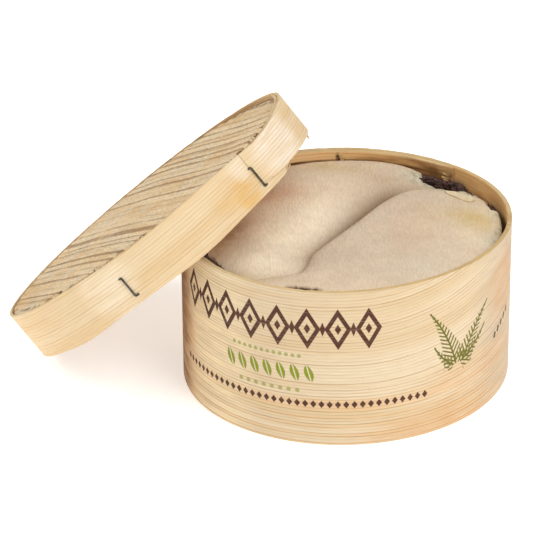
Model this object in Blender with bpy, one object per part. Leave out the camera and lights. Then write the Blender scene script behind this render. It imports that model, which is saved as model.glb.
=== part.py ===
# A soft washed-rind cheese girdled with bark, in its round box of bent spruce strip.
# The lid leans on the box: its edge on the table, its board on the box's rim.
# Metres, +Z up. The origin is the centre of the box's underside and the lid leans towards -X.

import math

import bmesh
import bpy
from mathutils import Vector

# Driving dimensions
BOX_RADIUS = 0.0650          # outside of the box, mean
BOX_HEIGHT = 0.0654
STRIP = 0.0018               # thickness of the box's bent strip
WALL_FOOT = 0.0001           # the strip ends just above the board's underside
BASE_THICKNESS = 0.0062
LID_RADIUS = 0.0696          # outside of the lid
LID_HEIGHT = 0.0210
LID_STRIP = 0.0012
LID_BOARD_THICKNESS = 0.0074
LID_HOLLOW = 0.0128          # from the lid's open edge to the underside of its board
LID_TILT = math.radians(39.7)
BARK_THICKNESS = 0.0024
BARK_CLEARANCE = 0.0005      # air on each side of the bark
BARK_ROUNDING = 0.0006
GAP = 0.0003                 # air left between pieces that touch
BOARD_CLEARANCE = 0.00045    # round a board, inside its strip
BOARD_BEVEL = 0.0005
REST_CLEARANCE = 0.0004      # between the lid's board and the rim it leans on

# The bent box isn't quite round: an oval at the foot, an oval and three lobes at the rim
FOOT_OVAL = (0.00040, math.radians(56))
RIM_OVAL = (0.00041, math.radians(103))
RIM_LOBES = (0.00095, math.radians(22))

# Where each strip laps over itself, counted along the strip from its inner end
BOX_LAP_START = math.radians(62.5)
BOX_LAP = math.radians(64)
LID_LAP_START = math.radians(38)
LID_LAP = math.radians(61.4)
LAP_RAMP = math.radians(40)

# The lid's strip isn't cut true. Its inner end tapers, the outer layer's open edge lies higher
# and rises again at its end: angle along the strip where each begins, over what angle, how much
LID_INNER_TAPER = (math.radians(38), math.radians(13), 0.0040)
LID_OUTER_RISE = (math.radians(300), math.radians(62), 0.0024)
LID_END_RISE = (math.radians(407), math.radians(14), 0.0011)

# Waves in its two edges: azimuth in the lid, reach, height added
OPEN_EDGE_WAVES = (
    (math.radians(-103), math.radians(13), -0.0010),
    (math.radians(-52), math.radians(14), -0.0010),
)
BOARD_EDGE_WAVES = (
    (math.radians(-62), math.radians(38), -0.0018),
    (math.radians(-12), math.radians(20), -0.0026),
)

# Staples of square wire: crown outside, legs through the strip, tips clinched inside
WIRE = 0.0007
TIP_LENGTH = 0.0024
LID_STAPLES = {
    "lid_staple_left": (math.radians(-78.3), 0.0028, 0.0124),
    "lid_staple_lap": (math.radians(-22.4), 0.0023, 0.0122),
}
BOX_STAPLE = (math.radians(108.0), 0.0530, 0.0636)

SEGMENTS = 96                # round the cheese, the bark and the boards
STRIP_SEGMENTS = 132
RING_STEP = 0.0014           # between the rings of the cheese's top, at its edge
RING_GROWTH = 1.12
RING_STEP_MOST = 0.0036
MIDDLE_RADIUS = 0.0050
MIDDLE = Vector((-0.0220, 0.0040, 0.0))    # where the rings of the cheese's top close in
SHARP = math.radians(40)

# Cheese: the fold where the big front lobe of the rind lies over the rest, from the back right
# wall round to the front left one
FOLD = (
    (0.0700, 0.0320), (0.0560, 0.0365), (0.0430, 0.0405), (0.0316, 0.0426), (0.0225, 0.0423),
    (0.0160, 0.0395), (0.0112, 0.0335), (0.0066, 0.0225), (0.0040, 0.0100), (0.0008, -0.0020),
    (-0.0026, -0.0150), (-0.0050, -0.0265), (-0.0044, -0.0370), (-0.0058, -0.0435),
    (-0.0120, -0.0478), (-0.0200, -0.0530), (-0.0320, -0.0650),
)
FOLD_SAMPLES = 6             # points read from the smooth fold line between two named ones
CREASE_LEVEL = 0.0594
LOBE_STEP = 0.0033
LOBE_ROUNDING = 0.0036
SLOPE_RISE = 0.0031
SLOPE_REACH = 0.0150
LIP_CLEARANCE = 0.0005       # between the rind's edge and the wall
EDGE_DROP = 0.0011           # how far the top rolls down to the rind's edge
EDGE_ROUNDING = 0.0024
LIP_ROUNDING = 0.0007
LIP_THICKNESS = 0.0024
FOOT_ROUNDING = 0.0020

# Round swellings and hollows of the rind: middle, reach along x and y, height
HUMPS = (
    ((-0.020, -0.026), (0.012, 0.026), 0.0008),
    ((0.008, 0.062), (0.024, 0.012), 0.0006),
    ((-0.050, 0.030), (0.028, 0.030), -0.0014),
    ((-0.042, -0.040), (0.014, 0.016), -0.0008),
    ((0.042, -0.022), (0.018, 0.006), 0.0004),
    ((0.018, -0.046), (0.030, 0.014), 0.0006),
    ((0.034, 0.052), (0.016, 0.009), -0.0010),
    ((0.062, 0.014), (0.010, 0.020), -0.0016),
)

# Where the rind's edge draws back from the wall: azimuth, half width, how far
EDGE_PULLS = (
    (math.radians(69), math.radians(9), 0.0032),
    (math.radians(51), math.radians(6), 0.0030),
    (math.radians(33), math.radians(5), 0.0036),
    (math.radians(14), math.radians(10), 0.0016),
    (math.radians(-88), math.radians(6), 0.0034),
    (math.radians(-127), math.radians(9), 0.0038),
)
# Where the bark stands up out of the rind, within those: azimuth, half width, height added
BARK_TOP = 0.0556
BARK_CRESTS = (
    (math.radians(69), math.radians(5.5), 0.0034),
    (math.radians(33), math.radians(3), 0.0030),
    (math.radians(-127), math.radians(5.5), 0.0062),
)
SOFT_END = 0.6               # a bump fades out over this share of its half width


def smooth_step(share):
    share = min(max(share, 0.0), 1.0)
    return share * share * (3.0 - 2.0 * share)


def angle_between(a, b):
    return (a - b + math.pi) % (2 * math.pi) - math.pi


def bumps(angle, named):
    """Sum of the named (azimuth, half width, size) bumps at this azimuth, each with soft ends."""
    total = 0.0
    for centre, half_width, size in named:
        past = abs(angle_between(angle, centre)) / half_width - 1.0
        total += size * (1.0 - smooth_step(past / SOFT_END))
    return total


def waves(angle, named):
    """Sum of the named (azimuth, reach, size) waves at this azimuth, without any flat part."""
    return sum(size * math.exp(-(angle_between(angle, centre) / reach) ** 2)
               for centre, reach, size in named)


def box_radius(angle, z):
    """Outer radius of the box strip at a height."""
    foot = FOOT_OVAL[0] * math.cos(2 * (angle - FOOT_OVAL[1]))
    rim = RIM_OVAL[0] * math.cos(2 * (angle - RIM_OVAL[1]))
    rim += RIM_LOBES[0] * math.cos(3 * (angle - RIM_LOBES[1]))
    return BOX_RADIUS + foot + (rim - foot) * z / BOX_HEIGHT


def lap_inset(turn, lap, strip):
    """How far the strip's face lies inside its usual radius, by the angle from its inner end."""
    return (strip + GAP) * (1.0 - smooth_step((turn - lap) / LAP_RAMP))


def clear_radius(angle, z):
    """Inner radius of the box's hollow, with the strip's inner end and ramp allowed for."""
    margin = 2 * math.pi / SEGMENTS
    inset = 0.0
    for near in (angle - margin, angle, angle + margin):
        turn = (near - BOX_LAP_START) % (2 * math.pi)
        inset = max(inset, lap_inset(turn, BOX_LAP, STRIP))
    return box_radius(angle, z) - inset - STRIP


def lid_clear_radius(angle):
    """Inner radius of the lid's strip, which winds the other way round."""
    margin = 2 * math.pi / SEGMENTS
    inset = 0.0
    for near in (angle - margin, angle, angle + margin):
        turn = (LID_LAP_START - near) % (2 * math.pi)
        inset = max(inset, lap_inset(turn, LID_LAP, LID_STRIP))
    return LID_RADIUS - inset - LID_STRIP


def fold_line():
    """Smooth line through the fold's named points."""
    points = [Vector(p) for p in FOLD]
    line = []
    for i in range(1, len(points) - 2):
        p0, p1, p2, p3 = points[i - 1:i + 3]
        for k in range(FOLD_SAMPLES):
            t = k / FOLD_SAMPLES
            line.append(0.5 * (2 * p1 + (p2 - p0) * t + (2 * p0 - 5 * p1 + 4 * p2 - p3) * t * t
                               + (3 * p1 - p0 - 3 * p2 + p3) * t ** 3))
    return [points[0]] + line + points[-2:]


FOLD_LINE = fold_line()


def fold_distance(x, y):
    """Distance to the fold, positive on the lobe's side."""
    here = Vector((x, y))
    best, side = 1.0, 1.0
    for i in range(len(FOLD_LINE) - 1):
        start, run = FOLD_LINE[i], FOLD_LINE[i + 1] - FOLD_LINE[i]
        t = min(max((here - start).dot(run) / run.length_squared, 0.0), 1.0)
        away = here - start - run * t
        if away.length < best:
            best = away.length
            side = 1.0 if run.cross(here - start) > 0 else -1.0
    return best * side


def rind_level(x, y):
    """Height of the cheese's top, away from its rounded edge."""
    distance = fold_distance(x, y)
    if distance > 0:
        rise = LOBE_STEP * (1.0 - math.exp(-distance / LOBE_ROUNDING))
    else:
        rise = SLOPE_RISE * (1.0 - math.exp(-(distance / SLOPE_REACH) ** 2))
    level = CREASE_LEVEL + rise
    for centre, reach, size in HUMPS:
        fall = ((x - centre[0]) / reach[0]) ** 2 + ((y - centre[1]) / reach[1]) ** 2
        level += size * math.exp(-fall)
    return level


def lip_radius(angle):
    """How far out the rind's edge reaches over the bark."""
    return clear_radius(angle, BOX_HEIGHT) - LIP_CLEARANCE - bumps(angle, EDGE_PULLS)


def bark_top(angle):
    return BARK_TOP + bumps(angle, BARK_CRESTS)


def material(name, color, roughness, metallic=0.0):
    made = bpy.data.materials.new(name)
    made.use_nodes = True
    shader = made.node_tree.nodes["Principled BSDF"]
    shader.inputs["Base Color"].default_value = (*color, 1.0)
    shader.inputs["Roughness"].default_value = roughness
    shader.inputs["Metallic"].default_value = metallic
    made.diffuse_color = (*color, 1.0)
    return made


def add_object(name, bm, finish, parent=None):
    """Turn a bmesh into a named object with one material, shaded smooth."""
    bmesh.ops.recalc_face_normals(bm, faces=bm.faces)
    mesh = bpy.data.meshes.new(name)
    bm.to_mesh(mesh)
    bm.free()
    mesh.shade_smooth()
    mesh.set_sharp_from_angle(angle=SHARP)
    mesh.materials.append(finish)
    made = bpy.data.objects.new(name, mesh)
    bpy.context.collection.objects.link(made)
    made.parent = parent
    return made


def around(radius, height, centre=Vector((0.0, 0.0, 0.0))):
    """A ring of points; radius is a function of the azimuth, height also of the radius."""
    points = []
    for k in range(SEGMENTS):
        angle = 2 * math.pi * k / SEGMENTS
        point = centre + radius(angle) * Vector((math.cos(angle), math.sin(angle), 0.0))
        point.z = height(math.atan2(point.y, point.x), point.xy.length)
        points.append(point)
    return points


def loft(rings, closed):
    """Draw one ring of edges out through the others.

    Every ring has one point for each azimuth. A closed loft comes back to its first ring, and an
    open one gets a fan of faces over each end.
    """
    bm = bmesh.new()
    azimuth = bm.verts.layers.int.new("azimuth")
    verts = [bm.verts.new(p) for p in rings[0]]
    for k, vert in enumerate(verts):
        vert[azimuth] = k
    loop = [bm.edges.new((verts[k - 1], verts[k])) for k in range(len(verts))]
    ends = [loop]
    for ring in rings[1:] + (rings[:1] if closed else []):
        drawn = bmesh.ops.extrude_edge_only(bm, edges=loop)["geom"]
        moved = {item for item in drawn if isinstance(item, bmesh.types.BMVert)}
        for vert in moved:
            vert.co = ring[vert[azimuth]]
        loop = [item for item in drawn if isinstance(item, bmesh.types.BMEdge)
                and moved.issuperset(item.verts)]
    ends.append(loop)
    if closed:
        bmesh.ops.remove_doubles(bm, verts=bm.verts, dist=1e-6)
    else:
        for end in ends:
            face = bmesh.ops.contextual_create(bm, geom=end)["faces"][0]
            bmesh.ops.poke(bm, faces=[face])
    return bm


def disc(hollow, bottom, thickness):
    """A flat board with a softened edge; hollow is the clear radius round it at an azimuth."""
    low, high = bottom + BOARD_BEVEL, bottom + thickness - BOARD_BEVEL
    steps = ((BOARD_BEVEL, bottom), (0.0, low), (0.0, high), (BOARD_BEVEL, bottom + thickness))
    rings = [around(lambda a, i=inset: hollow(a) - BOARD_CLEARANCE - i, lambda a, r, z=z: z)
             for inset, z in steps]
    return loft(rings, closed=False)


def bent_strip(place, turns, outward):
    """A strip's outer face, bent from a flat grid; place gives a point from turn and height."""
    bm = bmesh.new()
    bmesh.ops.create_grid(bm, x_segments=STRIP_SEGMENTS, y_segments=1, size=0.5)
    for vert in bm.verts:
        vert.co = place((vert.co.x + 0.5) * turns, vert.co.y + 0.5)
    if not outward:
        bmesh.ops.reverse_faces(bm, faces=bm.faces)
    return bm


def box_strip_place(turn, share):
    z = WALL_FOOT + share * (BOX_HEIGHT - WALL_FOOT)
    angle = BOX_LAP_START + turn
    r = box_radius(angle, z) - lap_inset(turn, BOX_LAP, STRIP)
    return Vector((r * math.cos(angle), r * math.sin(angle), z))


def lid_strip_edges(turn):
    """Heights of the lid strip's open edge and of its edge at the board."""
    def risen(named):
        start, width, size = named
        return size * smooth_step((turn - start) / width)

    angle = LID_LAP_START - turn
    low = LID_INNER_TAPER[2] - risen(LID_INNER_TAPER) + risen(LID_OUTER_RISE) + risen(LID_END_RISE)
    return low + waves(angle, OPEN_EDGE_WAVES), LID_HEIGHT + waves(angle, BOARD_EDGE_WAVES)


def lid_strip_place(turn, share):
    angle = LID_LAP_START - turn
    r = LID_RADIUS - lap_inset(turn, LID_LAP, LID_STRIP)
    low, high = lid_strip_edges(turn)
    return Vector((r * math.cos(angle), r * math.sin(angle), low + share * (high - low)))


def add_strip(name, bm, finish, thickness, parent=None):
    """Give a bent face its thickness, inwards, as a live modifier."""
    mesh = bpy.data.meshes.new(name)
    bm.to_mesh(mesh)
    bm.free()
    mesh.shade_smooth()
    mesh.set_sharp_from_angle(angle=SHARP)
    mesh.materials.append(finish)
    strip = bpy.data.objects.new(name, mesh)
    bpy.context.collection.objects.link(strip)
    strip.parent = parent
    solid = strip.modifiers.new("thickness", "SOLIDIFY")
    solid.thickness = thickness
    solid.offset = -1.0
    solid.use_even_offset = True
    return strip


def radial_block(bm, angle, inner, outer, bottom, top, width):
    """A square block along a radius, from inner to outer radius and bottom to top."""
    made = bmesh.ops.create_cube(bm, size=1.0)["verts"]
    out = Vector((math.cos(angle), math.sin(angle), 0.0))
    across = Vector((-out.y, out.x, 0.0))
    for vert in made:
        x, y, z = vert.co
        vert.co = (out * (inner + (x + 0.5) * (outer - inner)) + across * (y * width)
                   + Vector((0.0, 0.0, bottom + (z + 0.5) * (top - bottom))))


def punch_holes(strip, staple, inner, outer, parent=None):
    """Leg holes of one staple through a strip, each a little wider than the wire."""
    angle, low, high = staple
    bm = bmesh.new()
    for edge in (low, high - WIRE):
        radial_block(bm, angle, inner, outer, edge - GAP, edge + WIRE + GAP, WIRE + 2 * GAP)
    mesh = bpy.data.meshes.new(strip.name + "_holes")
    bm.to_mesh(mesh)
    bm.free()
    cutter = bpy.data.objects.new(mesh.name, mesh)
    bpy.context.collection.objects.link(cutter)
    cutter.parent = parent
    cutter.hide_render = True
    cutter.display_type = "WIRE"
    cut = strip.modifiers.new("leg holes", "BOOLEAN")
    cut.operation = "DIFFERENCE"
    cut.solver = "EXACT"
    cut.object = cutter


def add_staple(name, staple, face, inner_face, finish, tips, parent=None):
    """A staple as one outline in its own radial plane, drawn out to the wire's width.

    face and inner_face are the radii of the wood's outside and inside there. tips says for
    the lower and the upper leg whether the tip is clinched along the wood or ends in its hole.
    """
    angle, low, high = staple
    crown = face + GAP
    inside = inner_face - GAP
    outline = [(crown + WIRE, low), (crown + WIRE, high)]
    if tips[1]:
        outline += [(inside - WIRE, high), (inside - WIRE, high - TIP_LENGTH),
                    (inside, high - TIP_LENGTH), (inside, high - WIRE)]
    else:
        outline += [(inner_face + GAP, high), (inner_face + GAP, high - WIRE)]
    outline += [(crown, high - WIRE), (crown, low + WIRE)]
    if tips[0]:
        outline += [(inside, low + WIRE), (inside, low + TIP_LENGTH),
                    (inside - WIRE, low + TIP_LENGTH), (inside - WIRE, low)]
    else:
        outline += [(inner_face + GAP, low + WIRE), (inner_face + GAP, low)]
    out = Vector((math.cos(angle), math.sin(angle), 0.0))
    across = Vector((-out.y, out.x, 0.0))
    bm = bmesh.new()
    start = [bm.verts.new(out * r + across * (-WIRE / 2) + Vector((0, 0, z))) for r, z in outline]
    face_made = bm.faces.new(start)
    drawn = bmesh.ops.extrude_face_region(bm, geom=[face_made], use_keep_orig=True)
    moved = [v for v in drawn["geom"] if isinstance(v, bmesh.types.BMVert)]
    bmesh.ops.translate(bm, verts=moved, vec=across * WIRE)
    return add_object(name, bm, finish, parent)


def bark_outer(angle, z):
    """Outer face of the bark girdle, just clear of the strip."""
    return clear_radius(angle, z) - BARK_CLEARANCE


def body_radius(angle, z):
    """Side of the cheese, just clear of the bark."""
    return bark_outer(angle, z) - BARK_THICKNESS - BARK_CLEARANCE


def edge_level(angle):
    """Height of the rind where its rounded edge begins."""
    r = lip_radius(angle)
    return rind_level(r * math.cos(angle), r * math.sin(angle)) - EDGE_DROP


def under_lip(angle):
    """Height of the lip's underside, over the bark where it reaches over it."""
    return min(bark_top(angle) + 2 * GAP, edge_level(angle) - LIP_THICKNESS)


def top_level(angle, r):
    """Height of the cheese's top at a radius, with the roll down to its edge."""
    drop = EDGE_DROP * math.exp(-(lip_radius(angle) - r) / EDGE_ROUNDING)
    return rind_level(r * math.cos(angle), r * math.sin(angle)) - drop


def cheese_rings():
    """Rings from the middle of the underside, up the bark, over the lip and to the top's middle."""
    bottom = BASE_THICKNESS + GAP
    middle = (bottom + BARK_TOP) / 2

    def side(z, inset=0.0):
        return lambda a: body_radius(a, z) - inset

    def lip(inset):
        return lambda a: lip_radius(a) - inset

    def under(a, r):
        return under_lip(a)

    def above_under(a, r):
        return under_lip(a) + LIP_ROUNDING

    def below_edge(a, r):
        return edge_level(a) - LIP_ROUNDING

    rings = [
        around(side(bottom, BOX_RADIUS / 2), lambda a, r: bottom),
        around(side(bottom, FOOT_ROUNDING), lambda a, r: bottom),
        around(side(bottom), lambda a, r: bottom + FOOT_ROUNDING),
        around(side(middle), lambda a, r: middle),
        around(lambda a: body_radius(a, bark_top(a)), under),
        around(lip(LIP_ROUNDING), above_under),
        around(lip(0.0), below_edge),
        around(lip(LIP_ROUNDING), lambda a, r: edge_level(a)),
    ]
    inset, step = EDGE_ROUNDING, RING_STEP
    last = BOX_RADIUS - MIDDLE_RADIUS
    while inset < last:
        left = 1.0 - inset / BOX_RADIUS
        centre = MIDDLE * (inset - EDGE_ROUNDING) / last
        rings.append(around(lambda a, left=left: lip_radius(a) * left, top_level, centre))
        inset += step
        step = min(step * RING_GROWTH, RING_STEP_MOST)
    return rings


def bark_rings():
    """The girdle between the cheese and the box, as a closed ring."""
    bottom = BASE_THICKNESS + GAP

    def face(z, inset):
        return lambda a: bark_outer(a, z) - inset

    def top(inset):
        return lambda a: bark_outer(a, bark_top(a)) - inset

    def shoulder(a, r):
        return bark_top(a) - BARK_ROUNDING

    def crest(a, r):
        return bark_top(a)

    return [
        around(face(bottom, BARK_THICKNESS), lambda a, r: bottom),
        around(face(bottom, 0.0), lambda a, r: bottom),
        around(top(0.0), shoulder),
        around(top(BARK_ROUNDING), crest),
        around(top(BARK_THICKNESS - BARK_ROUNDING), crest),
        around(top(BARK_THICKNESS), shoulder),
    ]


def build():
    for old in list(bpy.data.objects):
        bpy.data.objects.remove(old)

    spruce = material("spruce_strip", (0.84, 0.66, 0.42), 0.62)
    sawn = material("sawn_spruce", (0.56, 0.44, 0.29), 0.85)
    rind = material("washed_rind", (0.62, 0.47, 0.34), 0.55)
    bark = material("spruce_bark", (0.13, 0.05, 0.03), 0.80)
    wire = material("staple_wire", (0.10, 0.09, 0.08), 0.45, 0.9)

    # Box
    base = disc(lambda a: clear_radius(a, 0.0), 0.0, BASE_THICKNESS)
    add_object("base_board", base, sawn)
    wall = add_strip("box_wall", bent_strip(box_strip_place, 2 * math.pi + BOX_LAP, True),
                     spruce, STRIP)
    box_face = box_radius(BOX_STAPLE[0], BOX_STAPLE[2])
    box_inside = box_face - 2 * STRIP - GAP
    punch_holes(wall, BOX_STAPLE, box_inside - STRIP, box_face + STRIP)
    add_staple("box_staple", BOX_STAPLE, box_face, box_inside, wire, (False, True))

    # Food
    add_object("cheese", loft(cheese_rings(), closed=False), rind)
    add_object("bark_girdle", loft(bark_rings(), closed=True), bark)

    # Lid, built flat with its open edge down, then leant on the box's rim
    rest_height = LID_RADIUS * math.sin(LID_TILT)
    rim_radius = box_radius(math.pi, BOX_HEIGHT)
    across_board = (BOX_HEIGHT - rest_height) * math.cos(LID_TILT) - LID_HOLLOW + REST_CLEARANCE
    lean = bpy.data.objects.new("lid_place", None)
    bpy.context.collection.objects.link(lean)
    lean.location = (-(rim_radius + across_board / math.sin(LID_TILT)), 0.0, rest_height)
    lean.rotation_euler = (0.0, -LID_TILT, 0.0)

    board = disc(lid_clear_radius, LID_HOLLOW, LID_BOARD_THICKNESS)
    add_object("lid_board", board, sawn, lean)
    rim = add_strip("lid_rim", bent_strip(lid_strip_place, 2 * math.pi + LID_LAP, False),
                    spruce, LID_STRIP, lean)
    for name, staple in LID_STAPLES.items():
        turn = LID_LAP_START - staple[0]
        lapped = turn < LID_LAP
        inset = lap_inset(turn, LID_LAP, LID_STRIP)
        face = LID_RADIUS if lapped else LID_RADIUS - inset
        inside = LID_RADIUS - inset - LID_STRIP
        punch_holes(rim, staple, inside - LID_STRIP, LID_RADIUS + LID_STRIP, lean)
        add_staple(name, staple, face, inside, wire, (True, True), lean)


build()
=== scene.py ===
import math
import random

import bmesh
import bpy
import numpy as np
from mathutils import Matrix, Vector, noise


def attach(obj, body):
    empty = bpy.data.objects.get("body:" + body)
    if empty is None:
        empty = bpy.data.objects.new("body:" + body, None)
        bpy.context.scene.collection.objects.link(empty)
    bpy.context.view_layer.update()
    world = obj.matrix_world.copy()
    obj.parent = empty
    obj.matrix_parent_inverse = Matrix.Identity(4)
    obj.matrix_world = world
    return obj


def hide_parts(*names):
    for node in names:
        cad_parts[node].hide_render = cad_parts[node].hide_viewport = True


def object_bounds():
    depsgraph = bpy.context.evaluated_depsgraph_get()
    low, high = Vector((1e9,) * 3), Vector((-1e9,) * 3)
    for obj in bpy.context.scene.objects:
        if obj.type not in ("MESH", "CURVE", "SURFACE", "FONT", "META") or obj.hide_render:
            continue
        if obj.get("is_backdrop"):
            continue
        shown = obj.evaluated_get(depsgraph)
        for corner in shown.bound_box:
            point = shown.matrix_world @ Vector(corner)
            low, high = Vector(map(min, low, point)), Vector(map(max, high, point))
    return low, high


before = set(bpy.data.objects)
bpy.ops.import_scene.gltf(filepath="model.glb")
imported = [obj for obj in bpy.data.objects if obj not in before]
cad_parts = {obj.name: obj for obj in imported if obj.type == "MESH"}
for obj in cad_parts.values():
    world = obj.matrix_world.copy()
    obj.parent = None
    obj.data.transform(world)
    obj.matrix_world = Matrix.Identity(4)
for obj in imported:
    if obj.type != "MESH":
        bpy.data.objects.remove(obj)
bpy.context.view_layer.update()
random.seed(11)
fullTurn = 2 * math.pi
print("frame loaded:", ", ".join(sorted(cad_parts)))

# The box's bent strip. Lengths are in metres and angles in degrees, as in every dictionary here
boxShape = {
    "radius": 0.0650,
    "height": 0.0654,
    "strip": 0.0018,
    "foot": 0.0001,
    "footOval": (0.00040, 56),
    "rimOval": (0.00041, 103),
    "rimLobes": (0.00095, 22),
    "lapStart": 62.5,
    "lap": 64,
    "ramp": 40,
    "air": 0.0003,
    "base": 0.0062,
    "baseSink": (0.0, 1.0, 0.0, 0.0),     # as the lid's boardSink, but the base lies level
    "steps": 640,
    "rows": 26,
    "rimWear": 0.00025,     # how far the rim's edge is worn down in places
    "endFray": 2.4,         # the inner end's raggedness along the strip, in degrees
    "frayOver": 4.0,        # and over how far it fades out
}

# The lid lies on the table with its lower edge and on the box's rim with its board
lidShape = {
    "radius": 0.0696,
    "height": 0.0210,
    "strip": 0.0012,
    "hollow": 0.0128,
    "board": 0.0074,
    "boardSink": (-0.010, 0.060, 0.0006, 0.0012),    # start and width along x, raised, sunk
    "tilt": 39.7,
    "lapStart": 38,
    "lap": 60.7,
    "boardAir": 0.00045,
    "restAir": 0.0004,
    "innerTaper": (38, 13, 0.0040),      # where along the strip, over what angle, how much
    "outerRise": (300, 62, 0.0024),
    "endRise": (407, 14, 0.0011),
    "openEdgeWaves": ((-103, 13, -0.0010), (-52, 14, -0.0010)),
    "boardEdgeWaves": ((-62, 38, -0.0018), (-12, 20, -0.0026)),
    "steps": 640,
    "rows": 10,
    "edgeWear": 0.00022,
    "pressed": 0.0012,      # how far the outer end is pressed down on the layer beneath it
    "pressedOver": 0.007,
}

# The cheese: its fold, its swellings and the places where its edge draws back from the wall
cheeseShape = {
    "fold": (
        (0.0700, 0.0320), (0.0560, 0.0365), (0.0430, 0.0405), (0.0316, 0.0426),
        (0.0225, 0.0423), (0.0160, 0.0395), (0.0112, 0.0335), (0.0066, 0.0225),
        (0.0040, 0.0100), (0.0008, -0.0020), (-0.0026, -0.0150), (-0.0050, -0.0265),
        (-0.0044, -0.0370), (-0.0058, -0.0435), (-0.0120, -0.0478), (-0.0200, -0.0530),
        (-0.0320, -0.0650),
    ),
    "foldSamples": 10,
    # brown shade beside the fold: places along it, how far it reaches, how strong it is
    "creaseAlong": (0.0, 0.20, 0.30, 0.38, 0.50, 0.60, 0.72, 0.82, 1.0),
    "creaseWidth": (0.0020, 0.0050, 0.0085, 0.0092, 0.0066, 0.0042, 0.0024, 0.0014, 0.0010),
    "creaseShade": (0.00, 0.14, 0.55, 0.90, 0.95, 0.80, 0.60, 0.35, 0.10),
    "creaseOnLobe": 0.0007,     # how far the shade reaches up the lobe's own side
    "creaseFall": 1.4,
    "creaseLevel": 0.0594,
    "lobeStep": 0.0033,
    "lobeRounding": 0.0030,
    "slopeRise": 0.0031,
    "slopeReach": 0.0150,
    "humps": (
        ((-0.020, -0.026), (0.012, 0.026), 0.0008),
        ((0.008, 0.062), (0.024, 0.012), 0.0006),
        ((-0.050, 0.030), (0.028, 0.030), -0.0014),
        ((-0.042, -0.040), (0.014, 0.016), -0.0008),
        ((0.0300, -0.0270), (0.0120, 0.0040), 0.0006),
        ((0.0500, -0.0130), (0.0100, 0.0050), 0.0007),
        ((0.018, -0.046), (0.030, 0.014), 0.0006),
        ((0.034, 0.052), (0.016, 0.009), -0.0010),
        ((0.062, 0.014), (0.010, 0.020), -0.0016),
        ((0.0270, 0.0545), (0.0110, 0.0070), -0.0026),
        ((0.0030, 0.0280), (0.0060, 0.0100), -0.0010),
        ((0.0010, -0.0620), (0.0110, 0.0070), 0.0022),
        ((-0.0400, -0.0510), (0.0100, 0.0070), -0.0022),
    ),
    "pulls": ((64, 6.5, 0.0038), (50, 6, 0.0006), (33, 4.5, 0.0036), (14, 10, 0.0016),
              (-88, 5.5, 0.0060), (-129, 8, 0.0054)),
    "crests": ((64, 8.5, 0.0042), (33, 3, 0.0034), (-129, 7, 0.0084), (-88, 8, -0.0090)),
    "softEnd": 0.6,
    # the torn edge: the pull at which it is fully torn, its depth and how far it may stand out
    "tearFrom": 0.0034,
    "tear": 0.0007,
    "tearOut": 0.0003,
    "dents": (0.00016, 0.00008),        # broad and small ones
    "lumps": (0.00045, 0.00025),        # where the mould grows
    # how far under the edge the side's dark shade starts, and over how much it comes in
    "sideFrom": 0.0009,
    "sideFade": 0.0005,
    "sideRing": 0.0015,
    "barkTop": 0.0556,
    "barkThickness": 0.0024,
    "barkAir": 0.0005,
    "barkSegments": 720,
    "barkRagged": (0.0009, 0.0006),
    "barkStands": 0.0002,               # how far its ragged top may stand over its level
    "barkCrumbs": 0.0003,
    "lipAir": 0.0005,
    "edgeDrop": 0.0011,
    "edgeRounding": 0.0024,
    "lipThickness": 0.0024,
    "lipRounding": 0.0007,
    "middle": (-0.0220, 0.0040),
    "segments": 480,
    "ringStep": 0.00055,
    "ringGrowth": 1.012,
    "ringStepMost": 0.0010,
}


def smoothStep(share):
    share = np.clip(share, 0.0, 1.0)
    return share * share * (3.0 - 2.0 * share)


def turnedTo(angle, centre):
    return (angle - math.radians(centre) + math.pi) % fullTurn - math.pi


def bumpsAt(angle, named):
    total = 0.0 * angle
    for centre, halfWidth, size in named:
        past = np.abs(turnedTo(angle, centre)) / math.radians(halfWidth) - 1.0
        total = total + size * (1.0 - smoothStep(past / cheeseShape["softEnd"]))
    return total


def wavesAt(angle, named):
    total = 0.0 * angle
    for centre, reach, size in named:
        total = total + size * np.exp(-(turnedTo(angle, centre) / math.radians(reach)) ** 2)
    return total


def boxRadiusAt(angle, z):
    footSize, footAngle = boxShape["footOval"]
    ovalSize, ovalAngle = boxShape["rimOval"]
    lobeSize, lobeAngle = boxShape["rimLobes"]
    foot = footSize * np.cos(2 * (angle - math.radians(footAngle)))
    rim = ovalSize * np.cos(2 * (angle - math.radians(ovalAngle)))
    rim = rim + lobeSize * np.cos(3 * (angle - math.radians(lobeAngle)))
    return boxShape["radius"] + foot + (rim - foot) * z / boxShape["height"]


def lapInsetAt(turn, lap, strip):
    # a strip's inner layer lies one thickness further in, and ramps out past the lap
    ramp = math.radians(boxShape["ramp"])
    return (strip + boxShape["air"]) * (1.0 - smoothStep((turn - math.radians(lap)) / ramp))


def clearRadiusAt(angle, z):
    turn = (angle - math.radians(boxShape["lapStart"])) % fullTurn
    inset = lapInsetAt(turn, boxShape["lap"], boxShape["strip"])
    return boxRadiusAt(angle, z) - inset - boxShape["strip"]


def lidClearRadiusAt(angle):
    turn = (math.radians(lidShape["lapStart"]) - angle) % fullTurn
    inset = lapInsetAt(turn, lidShape["lap"], lidShape["strip"])
    return lidShape["radius"] - inset - lidShape["strip"]


# Where the lid stands: worked out from its tilt, its size and the rim it leans on
lidTilt = math.radians(lidShape["tilt"])
lidRest = lidShape["radius"] * math.sin(lidTilt)
lidAcross = (boxShape["height"] - lidRest) * math.cos(lidTilt) - lidShape["hollow"]
lidAcross += lidShape["restAir"]
lidCentre = Vector((-(boxRadiusAt(math.pi, boxShape["height"]) + lidAcross / math.sin(lidTilt)),
                    0.0, lidRest))
lidPlace = Matrix.Translation(lidCentre) @ Matrix.Rotation(-lidTilt, 4, "Y")


def boxPoint(angle, radius, height):
    return Vector((radius * math.cos(angle), radius * math.sin(angle), height))


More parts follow.
